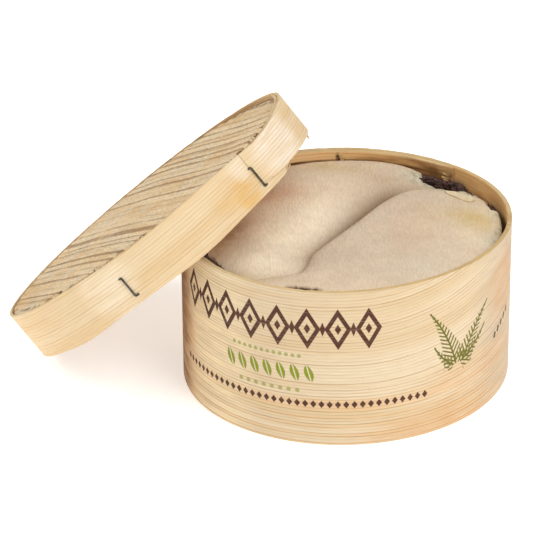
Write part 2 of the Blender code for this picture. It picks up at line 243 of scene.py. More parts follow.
def lidPoint(angle, radius, height):
    return lidPlace @ boxPoint(angle, radius, height)


def paint(red, green, blue):
    # a colour as seen on screen, 0 to 255, turned into the linear values that shaders take
    linear = []
    for part in (red, green, blue):
        part /= 255
        linear.append(part / 12.92 if part < 0.04045 else ((part + 0.055) / 1.055) ** 2.4)
    return (*linear, 1.0)


# Short ways to write node trees
def feed(tree, node, inputs):
    for key, value in inputs.items():
        if isinstance(value, bpy.types.NodeSocket):
            tree.links.new(value, node.inputs[key])
        else:
            node.inputs[key].default_value = value


def addNode(tree, kind, inputs=None, **settings):
    made = tree.nodes.new(kind)
    for key, value in settings.items():
        setattr(made, key, value)
    feed(tree, made, inputs or {})
    return made


def maths(tree, operation, a, b=0.0, c=0.0):
    return addNode(tree, "ShaderNodeMath", {0: a, 1: b, 2: c}, operation=operation).outputs[0]


def times(tree, first, *others):
    product = first
    for value in others:
        product = maths(tree, "MULTIPLY", product, value)
    return product


def plus(tree, a, b):
    return maths(tree, "ADD", a, b)


def minus(tree, a, b):
    return maths(tree, "SUBTRACT", a, b)


def greater(tree, a, b):
    return maths(tree, "MAXIMUM", a, b)


def squared(tree, value):
    return maths(tree, "POWER", value, 2.0)


def ranged(tree, value, low, high, toLow=0.0, toHigh=1.0):
    inputs = {"Value": value, "From Min": low, "From Max": high, "To Min": toLow, "To Max": toHigh}
    return addNode(tree, "ShaderNodeMapRange", inputs, interpolation_type="SMOOTHSTEP").outputs[0]


def blended(tree, share, a, b, blend="MIX"):
    made = addNode(tree, "ShaderNodeMix", {0: share, 6: a, 7: b}, data_type="RGBA")
    made.blend_type = blend
    return made.outputs[2]


def laidOn(tree, colour, other, mask, share):
    return blended(tree, times(tree, mask, share), colour, other)


def combined(tree, x, y, z=0.0):
    return addNode(tree, "ShaderNodeCombineXYZ", {0: x, 1: y, 2: z}).outputs[0]


def shadedBy(tree, colour, value, low, high, darkest, brightest):
    shade = ranged(tree, value, low, high, darkest, brightest)
    return blended(tree, 1.0, colour, combined(tree, shade, shade, shade), "MULTIPLY")


def stretched(tree, vector, x, y, z):
    inputs = {0: vector, 1: (x, y, z)}
    return addNode(tree, "ShaderNodeVectorMath", inputs, operation="MULTIPLY").outputs[0]


def clouds(tree, vector, scale=1.0, detail=2.0, roughness=0.5, distortion=0.0):
    inputs = {"Vector": vector, "Scale": scale, "Detail": detail, "Roughness": roughness,
              "Distortion": distortion}
    return addNode(tree, "ShaderNodeTexNoise", inputs).outputs[0]


def streaks(tree, along, across, fineness, detail=2.0, roughness=0.5):
    # noise drawn out along the grain, its fineness given along and across
    place = combined(tree, times(tree, along, fineness[0]), times(tree, across, fineness[1]))
    return clouds(tree, place, 1.0, detail, roughness)


def between(tree, value, low, high, soft):
    # 1 inside the two limits and 0 outside, with soft edges
    start = ranged(tree, value, low - soft, low + soft)
    end = ranged(tree, value, high - soft, high + soft, 1.0, 0.0)
    return times(tree, start, end)


def newGroup(name, inputs, outputs):
    tree = bpy.data.node_groups.new(name, "ShaderNodeTree")
    for key, value in inputs.items():
        kind = "NodeSocketVector" if value is None else "NodeSocketFloat"
        socket = tree.interface.new_socket(name=key, in_out="INPUT", socket_type=kind)
        if value is not None:
            socket.default_value = value
    for key in outputs:
        tree.interface.new_socket(name=key, in_out="OUTPUT", socket_type="NodeSocketFloat")
    given = tree.nodes.new("NodeGroupInput").outputs
    return tree, given, tree.nodes.new("NodeGroupOutput")


# Growth lines and fibres of sliced or sawn spruce. A pair is a fineness along and across
grainLooks = {
    "drift": (14.0, 40.0),
    "unevenFineness": 160.0,
    "growth": (0.50, 0.88),      # where in a year's ring its line starts and is full
    "cut": (0.90, 1.0),          # and where it stops
    "weakest": 0.25,             # the faintest year's line
    "patches": (38.0, 5.3),
    "patchy": 0.45,              # how much of a line is left where it fades
    "fibre": (110.0, 3200.0),
    "tone": (9.0, 110.0),
}


def makeGrainGroup():
    look = grainLooks
    tree, given, out = newGroup(
        "spruceGrain",
        {"Along": 0.0, "Across": 0.0, "Spacing": 0.0013, "Wander": 0.0012, "Uneven": 1.2},
        ("Line", "Fibre", "Tone"),
    )
    along, across = given["Along"], given["Across"]
    drift = minus(tree, streaks(tree, along, across, look["drift"]), 0.5)
    moved = plus(tree, across, times(tree, drift, given["Wander"]))
    uneven = clouds(tree, combined(tree, 3.7, times(tree, moved, look["unevenFineness"])))
    uneven = times(tree, minus(tree, uneven, 0.5), given["Uneven"])
    phase = plus(tree, maths(tree, "DIVIDE", moved, given["Spacing"]), uneven)
    share = maths(tree, "FRACT", phase)
    growth = ranged(tree, share, *look["growth"])
    cut = ranged(tree, share, *look["cut"], 1.0, 0.0)
    ring = maths(tree, "FLOOR", phase)
    strength = addNode(tree, "ShaderNodeTexWhiteNoise", {"W": ring}, noise_dimensions="1D")
    strength = ranged(tree, strength.outputs[0], 0.0, 1.0, look["weakest"], 1.0)
    patchy = streaks(tree, along, ring, look["patches"])
    patchy = ranged(tree, patchy, 0.30, 0.62, look["patchy"], 1.0)
    feed(tree, out, {
        "Line": times(tree, growth, cut, times(tree, strength, patchy)),
        "Fibre": streaks(tree, along, across, look["fibre"], 4.0, 0.62),
        "Tone": streaks(tree, along, across, look["tone"], 3.0, 0.55),
    })
    return tree


# Blotches and specks, for grey patches on the boards and painted shade in specks at their edges,
# mould on the rind and flakes in bark
def makeBlotchGroup():
    tree, given, out = newGroup(
        "blotches",
        {"Vector": None, "Scale": 100.0, "Cover": 0.5, "Softness": 0.1},
        ("Blotch", "Speck"),
    )
    field = clouds(tree, given["Vector"], given["Scale"], 4.0, 0.6, 0.3)
    least = minus(tree, given["Cover"], given["Softness"])
    most = plus(tree, given["Cover"], given["Softness"])
    fine = clouds(tree, given["Vector"], times(tree, given["Scale"], 5.5), 3.0, 0.7)
    feed(tree, out, {"Blotch": ranged(tree, field, least, most),
                     "Speck": ranged(tree, fine, 0.58, 0.72)})
    return tree


grainGroup = makeGrainGroup()
blotchGroup = makeBlotchGroup()


def newMaterial(name):
    made = bpy.data.materials.new(name)
    made.use_nodes = True
    tree = made.node_tree
    return made, tree, tree.nodes["Principled BSDF"]


def objectPlace(tree):
    return addNode(tree, "ShaderNodeTexCoord").outputs["Object"]


def attributeOf(tree, name, output="Fac"):
    return addNode(tree, "ShaderNodeAttribute", attribute_name=name).outputs[output]


def turnedPlace(tree, vector, rotation, location=(0.0, 0.0, 0.0)):
    inputs = {"Vector": vector, "Location": location, "Rotation": rotation}
    return addNode(tree, "ShaderNodeMapping", inputs, vector_type="TEXTURE").outputs[0]


def bumpInto(tree, shader, height, distance):
    made = addNode(tree, "ShaderNodeBump", {"Height": height, "Distance": distance,
                                            "Strength": 1.0})
    tree.links.new(made.outputs[0], shader.inputs["Normal"])


def grainAt(tree, along, across, spacing, wander, uneven):
    inputs = {"Along": along, "Across": across, "Spacing": spacing, "Wander": wander,
              "Uneven": uneven}
    return addNode(tree, "ShaderNodeGroup", inputs, node_tree=grainGroup).outputs


def blotchesAt(tree, vector, scale, cover, softness):
    inputs = {"Vector": vector, "Scale": scale, "Cover": cover, "Softness": softness}
    return addNode(tree, "ShaderNodeGroup", inputs, node_tree=blotchGroup).outputs


# Finishes of the two bent strips: outside, inside and cut edge
stripLooks = {
    "boxOutside": {
        "pale": paint(222, 203, 171), "deep": paint(214, 189, 149), "line": paint(174, 130, 80),
        "lineShare": 0.80, "spacing": 0.00135, "wander": 0.0008, "uneven": 1.0,
        "slant": (-68, 22, 0.016),      # from and to which azimuth, and how far it climbs
        "broad": 0.65, "flecks": 0.9,
        # azimuth, height, reach in degrees and metres, colour, share
        "stainsAndPaintedShading": (
            # painted light, brightening the wall's left part where the lid shades it
            (-132, 0.030, 22, 0.060, paint(252, 228, 184), 0.75),
            # painted shade: the lid's shade on the wall's left edge
            (-157, 0.050, 13, 0.022, paint(150, 90, 42), 0.90),
            (-146, 0.028, 9, 0.012, paint(226, 168, 100), 0.55),
            (-150, 0.008, 14, 0.010, paint(220, 164, 102), 0.45),
            # painted shade: the lid's shade on the wall's left edge
            (-161, 0.030, 18, 0.080, paint(142, 96, 52), 1.00),
            (-34, 0.003, 34, 0.009, paint(212, 164, 112), 0.50),
            # painted shade, darkening the wall's right end where the light falls strongest
            (2, 0.030, 22, 0.060, paint(196, 176, 150), 0.70),
            (-2, 0.046, 12, 0.014, paint(208, 156, 104), 0.45),
            (-20, 0.020, 26, 0.006, paint(214, 164, 110), 0.35),
            (-96, 0.0175, 60, 0.0024, paint(226, 168, 116), 0.25),
        ),
    },
    "boxInside": {
        "pale": paint(240, 202, 150), "deep": paint(224, 178, 116), "line": paint(148, 102, 54),
        "lineShare": 0.60, "spacing": 0.00150, "wander": 0.0016, "uneven": 1.4, "slant": None,
        "broad": 0.35, "flecks": 0.6,
        "stainsAndPaintedShading": (
            (80, 0.0600, 22, 0.0042, paint(150, 100, 50), 0.75),
            (40, 0.0590, 30, 0.0080, paint(200, 146, 78), 0.50),
            (67, 0.0622, 8, 0.0018, paint(118, 82, 38), 0.75),
            (86, 0.0608, 12, 0.0011, paint(146, 100, 52), 0.65),
            # painted shade along the line where the rind meets the wall
            (116, 0.0611, 46, 0.0006, paint(84, 54, 28), 0.80),
            # painted shadow beside the staple's tip
            (108.4, 0.0622, 0.9, 0.0024, paint(92, 58, 30), 0.75),
            (72, 0.0642, 16, 0.0012, paint(140, 96, 50), 0.55),
        ),
    },
    "lidOutside": {
        "pale": paint(230, 206, 166), "deep": paint(224, 193, 146), "line": paint(192, 145, 90),
        "lineShare": 0.48, "spacing": 0.00138, "wander": 0.0005, "uneven": 0.4, "slant": None,
        "broad": 0.0, "flecks": 0.3,
        "stainsAndPaintedShading": (
            (-29, 0.0050, 5.0, 0.0060, paint(222, 172, 88), 0.60),
            (-35, 0.0090, 7, 0.0060, paint(226, 184, 120), 0.45),
            (-26, 0.0155, 4.0, 0.0060, paint(240, 222, 196), 0.60),
            (-6, 0.0120, 12, 0.0140, paint(244, 228, 206), 0.80),
            (-84, 0.0120, 9, 0.0120, paint(242, 224, 194), 0.60),
        ),
    },
    "lidInside": {
        "pale": paint(206, 172, 124), "deep": paint(184, 142, 94), "line": paint(128, 90, 56),
        "lineShare": 0.80, "spacing": 0.00120, "wander": 0.0010, "uneven": 1.2, "slant": None,
        "broad": 0.0, "flecks": 0.3, "stainsAndPaintedShading": (),
    },
    "cutEdge": {
        "pale": paint(214, 188, 142), "deep": paint(200, 168, 114), "line": paint(166, 124, 72),
        "lineShare": 0.45, "spacing": 0.00070, "wander": 0.0010, "uneven": 1.2, "slant": None,
        "broad": 0.0, "flecks": 0.0, "stainsAndPaintedShading": (),
    },
}

# The printed marks on the box's wall: azimuths in degrees, heights and sizes in metres
printLooks = {
    "brown": paint(76, 36, 16),
    "green": paint(128, 140, 14),
    "leafGreen": paint(100, 98, 6),
    "lozenges": {"from": -141, "count": 8, "height": 0.0500, "pitch": 0.0114, "wide": 0.0050,
                 "high": 0.0086, "stroke": 0.384, "heart": (0.22, 0.28),
                 "small": (0.0011, 0.0030)},
    "beads": {"from": -114, "count": 12, "height": 0.0380, "pitch": 0.0025, "size": 0.0008},
    "leaves": {"from": -117, "count": 7, "height": 0.0308, "pitch": 0.0055, "wide": 0.0018,
               "high": 0.0040, "lean": 0.25, "vein": (0.00018, 0.00036)},
    "drops": {"from": -112, "count": 8, "height": 0.0232, "pitch": 0.0034, "size": 0.0009},
    "corner": {"from": -12, "count": 5, "height": 0.0270, "pitch": 0.0031, "wide": 0.0012,
               "high": 0.0016, "climb": 0.45},
    "border": {"from": -143, "count": 36, "height": 0.0178, "pitch": 0.0031, "wide": 0.0012,
               "high": 0.0016},
    # azimuth and height of the foot, lean, length, reach of the needles, bend
    "sprigs": ((-33, 0.0262, 104, 0.027, 0.0058, 0.0060),
               (-30, 0.0262, 64, 0.025, 0.0052, -0.0050),
               (-31, 0.0262, 24, 0.018, 0.0040, 0.0040),
               (-34, 0.0262, 150, 0.013, 0.0034, -0.0040)),
    "needles": {"slant": 0.9, "pitch": 0.0021, "width": (0.25, 0.68), "stem": (0.00028, 0.00048)},
}

# What the finishes of both strips share
stripFinish = {
    "cloudyFineness": (60.0, 260.0),     # along and across
    "cloudyUneven": (0.55, 1.45),        # the weakest and the strongest part of each spot, whether a real discolouring or painted light or shade
    "broad": paint(222, 180, 128),      # the broad lines low on the wall
    "broadHeights": (0.010, 0.028),     # where they are full and where they have faded
    "fibreShade": (0.90, 1.04),
    "fleckFineness": (420.0, 2600.0),
    "tornFineness": (30.0, 60.0),       # the patches that have flecks
    "roughness": (0.52, 0.72),
    "specular": 0.35,
    "depth": 0.00006,
}


def alongBox(azimuth):
    # place along the outer layer of the box's strip at an azimuth
    turn = (math.radians(azimuth - boxShape["lapStart"])) % fullTurn
    if turn < math.radians(boxShape["lap"]):
        turn += fullTurn
    return turn * boxShape["radius"]


def alongInside(azimuth):
    return math.radians((azimuth - boxShape["lapStart"]) % 360) * boxShape["radius"]


def alongLid(angle):
    turn = math.radians((lidShape["lapStart"] - angle) % 360)
    if turn < math.radians(lidShape["lap"]):
        turn += fullTurn
    return turn * lidShape["radius"]


placesAlong = {"boxOutside": alongBox, "boxInside": alongInside, "lidOutside": alongLid}


def repeatedAt(tree, value, start, pitch):
    share = maths(tree, "FRACT", maths(tree, "DIVIDE", minus(tree, value, start), pitch))
    return times(tree, minus(tree, share, 0.5), pitch)


def lozengeAt(tree, x, y, wide, high):
    return plus(tree, maths(tree, "DIVIDE", maths(tree, "ABSOLUTE", x), wide),
                maths(tree, "DIVIDE", maths(tree, "ABSOLUTE", y), high))


def rowMask(tree, u, look, inset=0.0):
    start = alongBox(look["from"])
    end = start + look["count"] * look["pitch"]
    return between(tree, u, start + inset, end - inset, 0.00002)


def rowOf(tree, u, v, key):
    # the place within each mark of a row, and the row's own mask
    look = printLooks[key]
    x = repeatedAt(tree, u, alongBox(look["from"]), look["pitch"])
    return look, x, minus(tree, v, look["height"]), rowMask(tree, u, look)


def printedBrown(tree, u, v):
    # big lozenges with small ones between them, and two rows of small lozenges
    look, x, y, row = rowOf(tree, u, v, "lozenges")
    big = lozengeAt(tree, x, y, look["wide"], look["high"])
    outline = between(tree, big, 1.0 - look["stroke"], 1.0, 0.03)
    heart = ranged(tree, big, *look["heart"], 1.0, 0.0)
    side = minus(tree, maths(tree, "ABSOLUTE", x), look["pitch"] / 2)
    small = ranged(tree, lozengeAt(tree, side, y, *look["small"]), 0.92, 1.08, 1.0, 0.0)
    small = times(tree, small, rowMask(tree, u, look, look["pitch"] / 2))
    marks = greater(tree, times(tree, greater(tree, outline, heart), row), small)
    for key in ("border", "corner"):
        look, x, y, row = rowOf(tree, u, v, key)
        climb = times(tree, minus(tree, u, alongBox(look["from"])), look.get("climb", 0.0))
        spot = lozengeAt(tree, x, minus(tree, y, climb), look["wide"], look["high"])
        spot = times(tree, ranged(tree, spot, 0.90, 1.1, 1.0, 0.0), row)
        marks = greater(tree, marks, spot)
    return marks


def printedGreen(tree, u, v):
    look, x, y, row = rowOf(tree, u, v, "leaves")
    # a leaf leans a little, narrows to both tips and has a bare vein down its middle
    lean = maths(tree, "ABSOLUTE", plus(tree, x, times(tree, y, look["lean"])))
    narrowed = minus(tree, 1.0, squared(tree, maths(tree, "DIVIDE", y, look["high"])))
    wide = times(tree, narrowed, look["wide"])
    leaf = ranged(tree, minus(tree, wide, lean), -0.00005, 0.00020)
    marks = times(tree, leaf, ranged(tree, lean, *look["vein"]), row)
    for key in ("beads", "drops"):
        look, x, y, row = rowOf(tree, u, v, key)
        away = maths(tree, "SQRT", plus(tree, squared(tree, x), squared(tree, y)))
        dot = ranged(tree, away, look["size"] * 0.85, look["size"] * 1.1, 0.7, 0.0)
        marks = greater(tree, marks, times(tree, dot, row))
    return marks


def printedSprigs(tree, u, v):
    # fir sprigs: a bent stem with slanting needles on both sides
    needles = printLooks["needles"]
    marks = None
    for azimuth, height, lean, length, reach, bent in printLooks["sprigs"]:
        ahead, aside = math.cos(math.radians(lean)), math.sin(math.radians(lean))
        x = minus(tree, u, alongBox(azimuth))
        y = minus(tree, v, height)
        along = plus(tree, times(tree, x, ahead), times(tree, y, aside))
        across = minus(tree, times(tree, y, ahead), times(tree, x, aside))
        share = maths(tree, "DIVIDE", along, length)
        bend = times(tree, squared(tree, share), bent)
        side = maths(tree, "ABSOLUTE", minus(tree, across, bend))
        room = times(tree, minus(tree, 1.05, share), reach)
        needle = minus(tree, along, times(tree, side, needles["slant"]))
        needle = maths(tree, "FRACT", maths(tree, "DIVIDE", needle, needles["pitch"]))
        needle = between(tree, needle, *needles["width"], 0.08)
        needle = times(tree, needle, ranged(tree, minus(tree, room, side), 0.0, 0.0004))
        sprig = greater(tree, needle, ranged(tree, side, *needles["stem"], 1.0, 0.0))
        sprig = times(tree, sprig, between(tree, share, 0.0, 1.0, 0.01))
        marks = sprig if marks is None else greater(tree, marks, sprig)
    return marks


def stainedAndShaded(tree, colour, u, v, name):
    # cloudy spots laid on the strip: real discolouring, painted light and painted shade
    cloudy = streaks(tree, u, v, stripFinish["cloudyFineness"], 3.0, 0.6)
    cloudy = ranged(tree, cloudy, 0.30, 0.70, *stripFinish["cloudyUneven"])
    for place, height, reach, tall, spotColour, share in stripLooks[name]["stainsAndPaintedShading"]:
        long = math.radians(reach) * boxShape["radius"]
        x = maths(tree, "DIVIDE", minus(tree, u, placesAlong[name](place)), long)
        y = maths(tree, "DIVIDE", minus(tree, v, height), tall)
        fall = plus(tree, squared(tree, x), squared(tree, y))
        mask = times(tree, ranged(tree, fall, 0.0, 2.0, share, 0.0), cloudy)
        colour = blended(tree, maths(tree, "MINIMUM", mask, 1.0), colour, spotColour)
    return colour


def stripMaterial(name, printed):
    look = stripLooks[name]
    made, tree, shader = newMaterial(name)
    place = addNode(tree, "ShaderNodeUVMap", uv_map="strip").outputs[0]
    split = addNode(tree, "ShaderNodeSeparateXYZ", {0: place}).outputs
    u, v = split[0], split[1]
    across = v
    if look["slant"]:
        # towards one end the growth lines climb, as the veneer was cut on the slant there
        start, end, size = look["slant"]
        climb = times(tree, ranged(tree, u, alongBox(start), alongBox(end)), size)
        climb = times(tree, climb, ranged(tree, v, 0.0, 0.060, 0.10, 1.0))
        across = minus(tree, v, climb)
    grain = grainAt(tree, u, across, look["spacing"], look["wander"], look["uneven"])
    tone = ranged(tree, grain["Tone"], 0.34, 0.66)
    colour = blended(tree, tone, look["pale"], look["deep"])
    if look["stainsAndPaintedShading"]:
        colour = stainedAndShaded(tree, colour, u, v, name)
    if look["broad"]:
        broad = grainAt(tree, u, plus(tree, across, 0.02), look["spacing"] * 2.7,
                        look["wander"] * 1.5, look["uneven"])
        lower = ranged(tree, v, *stripFinish["broadHeights"], look["broad"],
                       look["broad"] * 0.12)
        colour = laidOn(tree, colour, stripFinish["broad"], broad["Line"], lower)
    colour = laidOn(tree, colour, look["line"], grain["Line"], look["lineShare"])
    colour = shadedBy(tree, colour, grain["Fibre"], 0.30, 0.70, *stripFinish["fibreShade"])
    if printed:
        # the ink is thin on the fibres that stand up
        ridges = plus(tree, grain["Fibre"], times(tree, grain["Line"], -0.10))
        gaps = ranged(tree, ridges, 0.28, 0.46, 0.70, 1.0)
        for mark, ink in ((printedBrown, "brown"), (printedGreen, "green"),
                          (printedSprigs, "leafGreen")):
            colour = laidOn(tree, colour, printLooks[ink], mark(tree, u, v), gaps)
    if look["flecks"]:
        # short dark dashes where the blade has torn the wood
        flecks = streaks(tree, u, across, stripFinish["fleckFineness"])
        flecks = ranged(tree, flecks, 0.705, 0.735, 0.0, look["flecks"])
        torn = streaks(tree, u, v, stripFinish["tornFineness"])
        colour = laidOn(tree, colour, look["line"], flecks, ranged(tree, torn, 0.45, 0.60))
    fibre = ranged(tree, grain["Fibre"], 0.30, 0.70)
    feed(tree, shader, {
        "Base Color": colour,
        "Roughness": ranged(tree, fibre, 0.0, 1.0, *stripFinish["roughness"]),
        "Specular IOR Level": stripFinish["specular"],
    })
    relief = minus(tree, times(tree, fibre, 0.55), grain["Line"])
    bumpInto(tree, shader, relief, stripFinish["depth"])
    return made


# Sawn boards: the lid's top, grey with age, and the base
boardLooks = {
    "lidBoard": {"pale": paint(240, 214, 172), "deep": paint(222, 186, 136),
                 "line": paint(140, 98, 58), "grey": paint(226, 208, 176), "direction": -42,
                 "spacing": 0.0047, "uneven": 1.3, "fine": 0.30},
    "baseBoard": {"pale": paint(222, 200, 160), "deep": paint(206, 176, 130),
                  "line": paint(168, 126, 80), "grey": paint(198, 180, 148), "direction": 20,
                  "spacing": 0.0042, "uneven": 1.8, "fine": 0.20},
    "sway": 0.004,          # how far the growth lines stray, in metres
    "greyShare": 0.7,
    "greyFineness": 55.0,
    "fuzz": (620.0, 1100.0, 1100.0),
    "fuzzShade": (0.72, 1.12),
    "speckFineness": 300.0,
    # painted shade in dark specks at the board's edge, where it meets the strip
    "edgePaintedShade": paint(104, 76, 48),
    "roughness": 0.88,
    "specular": 0.2,
    "depth": 0.00030,
}


def boardMaterial(name, centre, tilt):
    look = boardLooks[name]
    made, tree, shader = newMaterial(name)
    # the board's own flat frame, so that the growth lines run straight over it
    flat = turnedPlace(tree, objectPlace(tree), (0.0, -tilt, 0.0), centre)
    spun = turnedPlace(tree, flat, (0.0, 0.0, math.radians(look["direction"])))
    split = addNode(tree, "ShaderNodeSeparateXYZ", {0: spun}).outputs
    sway = minus(tree, clouds(tree, stretched(tree, spun, 9.0, 26.0, 20.0)), 0.5)
    across = plus(tree, split[1], times(tree, sway, boardLooks["sway"]))
    grain = grainAt(tree, split[0], across, look["spacing"], 0.0016, look["uneven"])
    fine = grainAt(tree, split[0], across, look["spacing"] * 0.37, 0.0010, look["uneven"])
    colour = blended(tree, ranged(tree, grain["Tone"], 0.32, 0.68), look["pale"], look["deep"])
    aged = blotchesAt(tree, spun, boardLooks["greyFineness"], 0.52, 0.12)
    colour = laidOn(tree, colour, look["grey"], aged["Blotch"], boardLooks["greyShare"])
    colour = laidOn(tree, colour, look["line"], fine["Line"], look["fine"])
    fuzz = clouds(tree, stretched(tree, spun, *boardLooks["fuzz"]), 1.0, 4.0, 0.75)
    colour = laidOn(tree, colour, look["line"], ranged(tree, grain["Line"], 0.0, 0.6),
                    ranged(tree, fuzz, 0.35, 0.65, 0.35, 0.95))
    colour = shadedBy(tree, colour, fuzz, 0.30, 0.70, *boardLooks["fuzzShade"])
    # painted shade in dark specks, thickest towards the board's edge, where it meets the strip
    specks = blotchesAt(tree, spun, boardLooks["speckFineness"], 0.56, 0.05)
    edge = ranged(tree, attributeOf(tree, "edge"), 0.0, 1.0, 0.10, 0.95)
    dark = greater(tree, specks["Speck"], specks["Blotch"])
    colour = laidOn(tree, colour, boardLooks["edgePaintedShade"], dark, edge)
    feed(tree, shader, {
        "Base Color": colour,
        "Roughness": boardLooks["roughness"],
        "Specular IOR Level": boardLooks["specular"],
    })
    relief = plus(tree, fuzz, times(tree, grain["Line"], -0.5))
    bumpInto(tree, shader, relief, boardLooks["depth"])
    return made


# The rind's colours, laid on by the piece's own colour attributes and broken up by noise; the
# light patches are painted light, and the colours beside the fold and on the side are painted
# shade
rindLooks = {
    "cream": paint(212, 190, 163),
    # painted light in the light patches, which brighten the hill where the lid's shade falls; the
    # same colour is the pale of the blotches and the tongue
    "light": paint(255, 238, 210),
    "pink": paint(226, 180, 146),
    "brown": paint(180, 132, 94),
    "yellow": paint(208, 180, 124),
    # painted shade beside the fold
    "paintedCreaseShade": paint(118, 82, 36),
    "mould": paint(208, 197, 172),
    "mouldSpot": paint(142, 136, 108),
    # painted shade on the rind's side, down in the gaps under its edge
    "side": paint(58, 38, 24),
    "ragged": 190.0,                        # how fine the breaks in the patches' edges are
    "mottle": 0.16,                         # how strongly the light blotches show
    "mottleFineness": 85.0,
    "mouldSpots": 0.60,
    "spotFineness": 420.0,
    "wrinkles": (1500.0, 330.0, 330.0),     # how fine the wrinkles are along x, y and z
    "wrinkleDirection": 19,
    "wrinkleShade": (0.91, 1.06),
    "wrinkleDepth": 0.00026,
    "nap": 2600.0,
    "roughness": (0.56, 0.74),
    "subsurface": 0.12,
    "subsurfaceRadius": (1.0, 0.6, 0.35),
    "subsurfaceScale": 0.0025,
    "specular": 0.3,
    # colour, middle, reach along x and y, share
    "patches": (
        ("pink", (-0.0348, 0.0200), (0.014, 0.012), 0.65),
        ("pink", (-0.0480, 0.0060), (0.013, 0.020), 0.75),
        ("pink", (-0.0300, -0.0080), (0.014, 0.014), 0.20),
        ("pink", (-0.0100, 0.0300), (0.018, 0.014), 0.20),
        ("pink", (0.0280, 0.0040), (0.012, 0.018), 0.30),
        ("brown", (-0.0400, -0.0240), (0.0070, 0.0130), 0.62),
        ("brown", (-0.0400, -0.0110), (0.0060, 0.0080), 0.40),
        ("brown", (-0.0490, -0.0290), (0.0100, 0.0140), 0.75),
        ("brown", (-0.0440, 0.0250), (0.0100, 0.0060), 0.35),
        # painted light, brightening the hill in the lid's shade
        ("light", (-0.0190, 0.0130), (0.0240, 0.0300), 0.95),
        ("brown", (0.0050, 0.0480), (0.0220, 0.0080), 0.28),
        # painted light, as above
        ("light", (-0.0220, -0.0140), (0.0120, 0.0180), 0.80),
        ("light", (-0.0200, -0.0400), (0.0110, 0.0080), 0.70),
        ("light", (0.0510, 0.0000), (0.0100, 0.0090), 0.25),
        ("yellow", (-0.0200, 0.0490), (0.0110, 0.0050), 0.70),
        ("yellow", (0.0434, 0.0175), (0.0130, 0.0075), 0.50),
        ("yellow", (0.0530, 0.0150), (0.0090, 0.0150), 0.65),
        ("yellow", (-0.0260, -0.0530), (0.0140, 0.0045), 0.85),
        ("mould", (0.0600, 0.0110), (0.0040, 0.0140), 0.70),
        ("mould", (0.0560, 0.0250), (0.0060, 0.0060), 0.75),
        ("mould", (0.0589, 0.0000), (0.0040, 0.0080), 0.55),
        ("mould", (0.0181, 0.0530), (0.0100, 0.0050), 0.95),
        ("mould", (0.0370, 0.0430), (0.0080, 0.0070), 0.90),
        ("mould", (0.0280, 0.0500), (0.0160, 0.0050), 0.80),
        ("mould", (0.0400, -0.0330), (0.0180, 0.0100), 0.35),
    ),
}


def rindMaterial():
    look = rindLooks
    made, tree, shader = newMaterial("washedRind")
    place = objectPlace(tree)
    warm, cool = (addNode(tree, "ShaderNodeSeparateColor", {0: attributeOf(tree, name, "Color")})
                  for name in ("warmRind", "coolRind"))
    pink, brown, yellow = warm.outputs
    paintedCreaseShade, mould, light = cool.outputs
    ragged = clouds(tree, place, look["ragged"], 4.0, 0.6)
    ragged = ranged(tree, ragged, 0.30, 0.70, 0.80, 1.15)
    colour = look["cream"]
    # the light share lays on painted light
    for share, key in ((light, "light"), (pink, "pink"), (brown, "brown"), (yellow, "yellow")):
        factor = maths(tree, "MINIMUM", times(tree, share, ragged), 1.0)
        colour = blended(tree, factor, colour, look[key])
    mottle = blotchesAt(tree, place, look["mottleFineness"], 0.52, 0.16)
    colour = laidOn(tree, colour, look["light"], mottle["Blotch"], look["mottle"])
    factor = maths(tree, "MINIMUM", times(tree, mould, ragged), 0.95)
    colour = blended(tree, factor, colour, look["mould"])
    spots = blotchesAt(tree, place, look["spotFineness"], 0.54, 0.12)
    colour = laidOn(tree, colour, look["mouldSpot"], spots["Blotch"],
                    ranged(tree, mould, 0.40, 1.0, 0.0, look["mouldSpots"]))
    # painted shade beside the fold, from the first channel of coolRind
    colour = laidOn(tree, colour, look["paintedCreaseShade"], paintedCreaseShade, 0.90)
    colour = blended(tree, attributeOf(tree, "sideShade"), colour, look["side"])
    # fine wrinkles, like the print of a cloth, running away from the viewer's side
    spun = turnedPlace(tree, place, (0.0, 0.0, math.radians(look["wrinkleDirection"])))
    wrinkles = clouds(tree, stretched(tree, spun, *look["wrinkles"]), 1.0, 3.0, 0.6, 0.4)
    nap = clouds(tree, place, look["nap"], 2.0, 0.6)
    colour = shadedBy(tree, colour, wrinkles, 0.30, 0.70, *look["wrinkleShade"])
    feed(tree, shader, {
        "Base Color": colour,
        "Roughness": ranged(tree, wrinkles, 0.25, 0.75, *look["roughness"]),
        "Subsurface Weight": look["subsurface"],
        "Subsurface Radius": look["subsurfaceRadius"],
        "Subsurface Scale": look["subsurfaceScale"],
        "Specular IOR Level": look["specular"],
    })
    relief = plus(tree, wrinkles, times(tree, nap, 0.35))
    bumpInto(tree, shader, relief, look["wrinkleDepth"])
    return made


barkLooks = {
    "dark": paint(50, 32, 30),
    "red": paint(92, 58, 50),
    "pale": paint(170, 144, 126),
    "flakes": 420.0,
    "stretch": (1.0, 1.0, 2.2),     # the flakes lie along the band
    "rough": 1400.0,
    "roughness": 0.7,
    "depth": 0.00060,
}


def barkMaterial():
    look = barkLooks
    made, tree, shader = newMaterial("dampBark")
    place = objectPlace(tree)
    flat = stretched(tree, place, *look["stretch"])
    flakes = blotchesAt(tree, flat, look["flakes"], 0.50, 0.06)
    colour = blended(tree, flakes["Blotch"], look["dark"], look["red"])
    colour = laidOn(tree, colour, look["pale"], flakes["Speck"], 0.85)
    feed(tree, shader, {"Base Color": colour, "Roughness": look["roughness"]})
    bumpInto(tree, shader, clouds(tree, place, look["rough"], 4.0, 0.7), look["depth"])
    return made


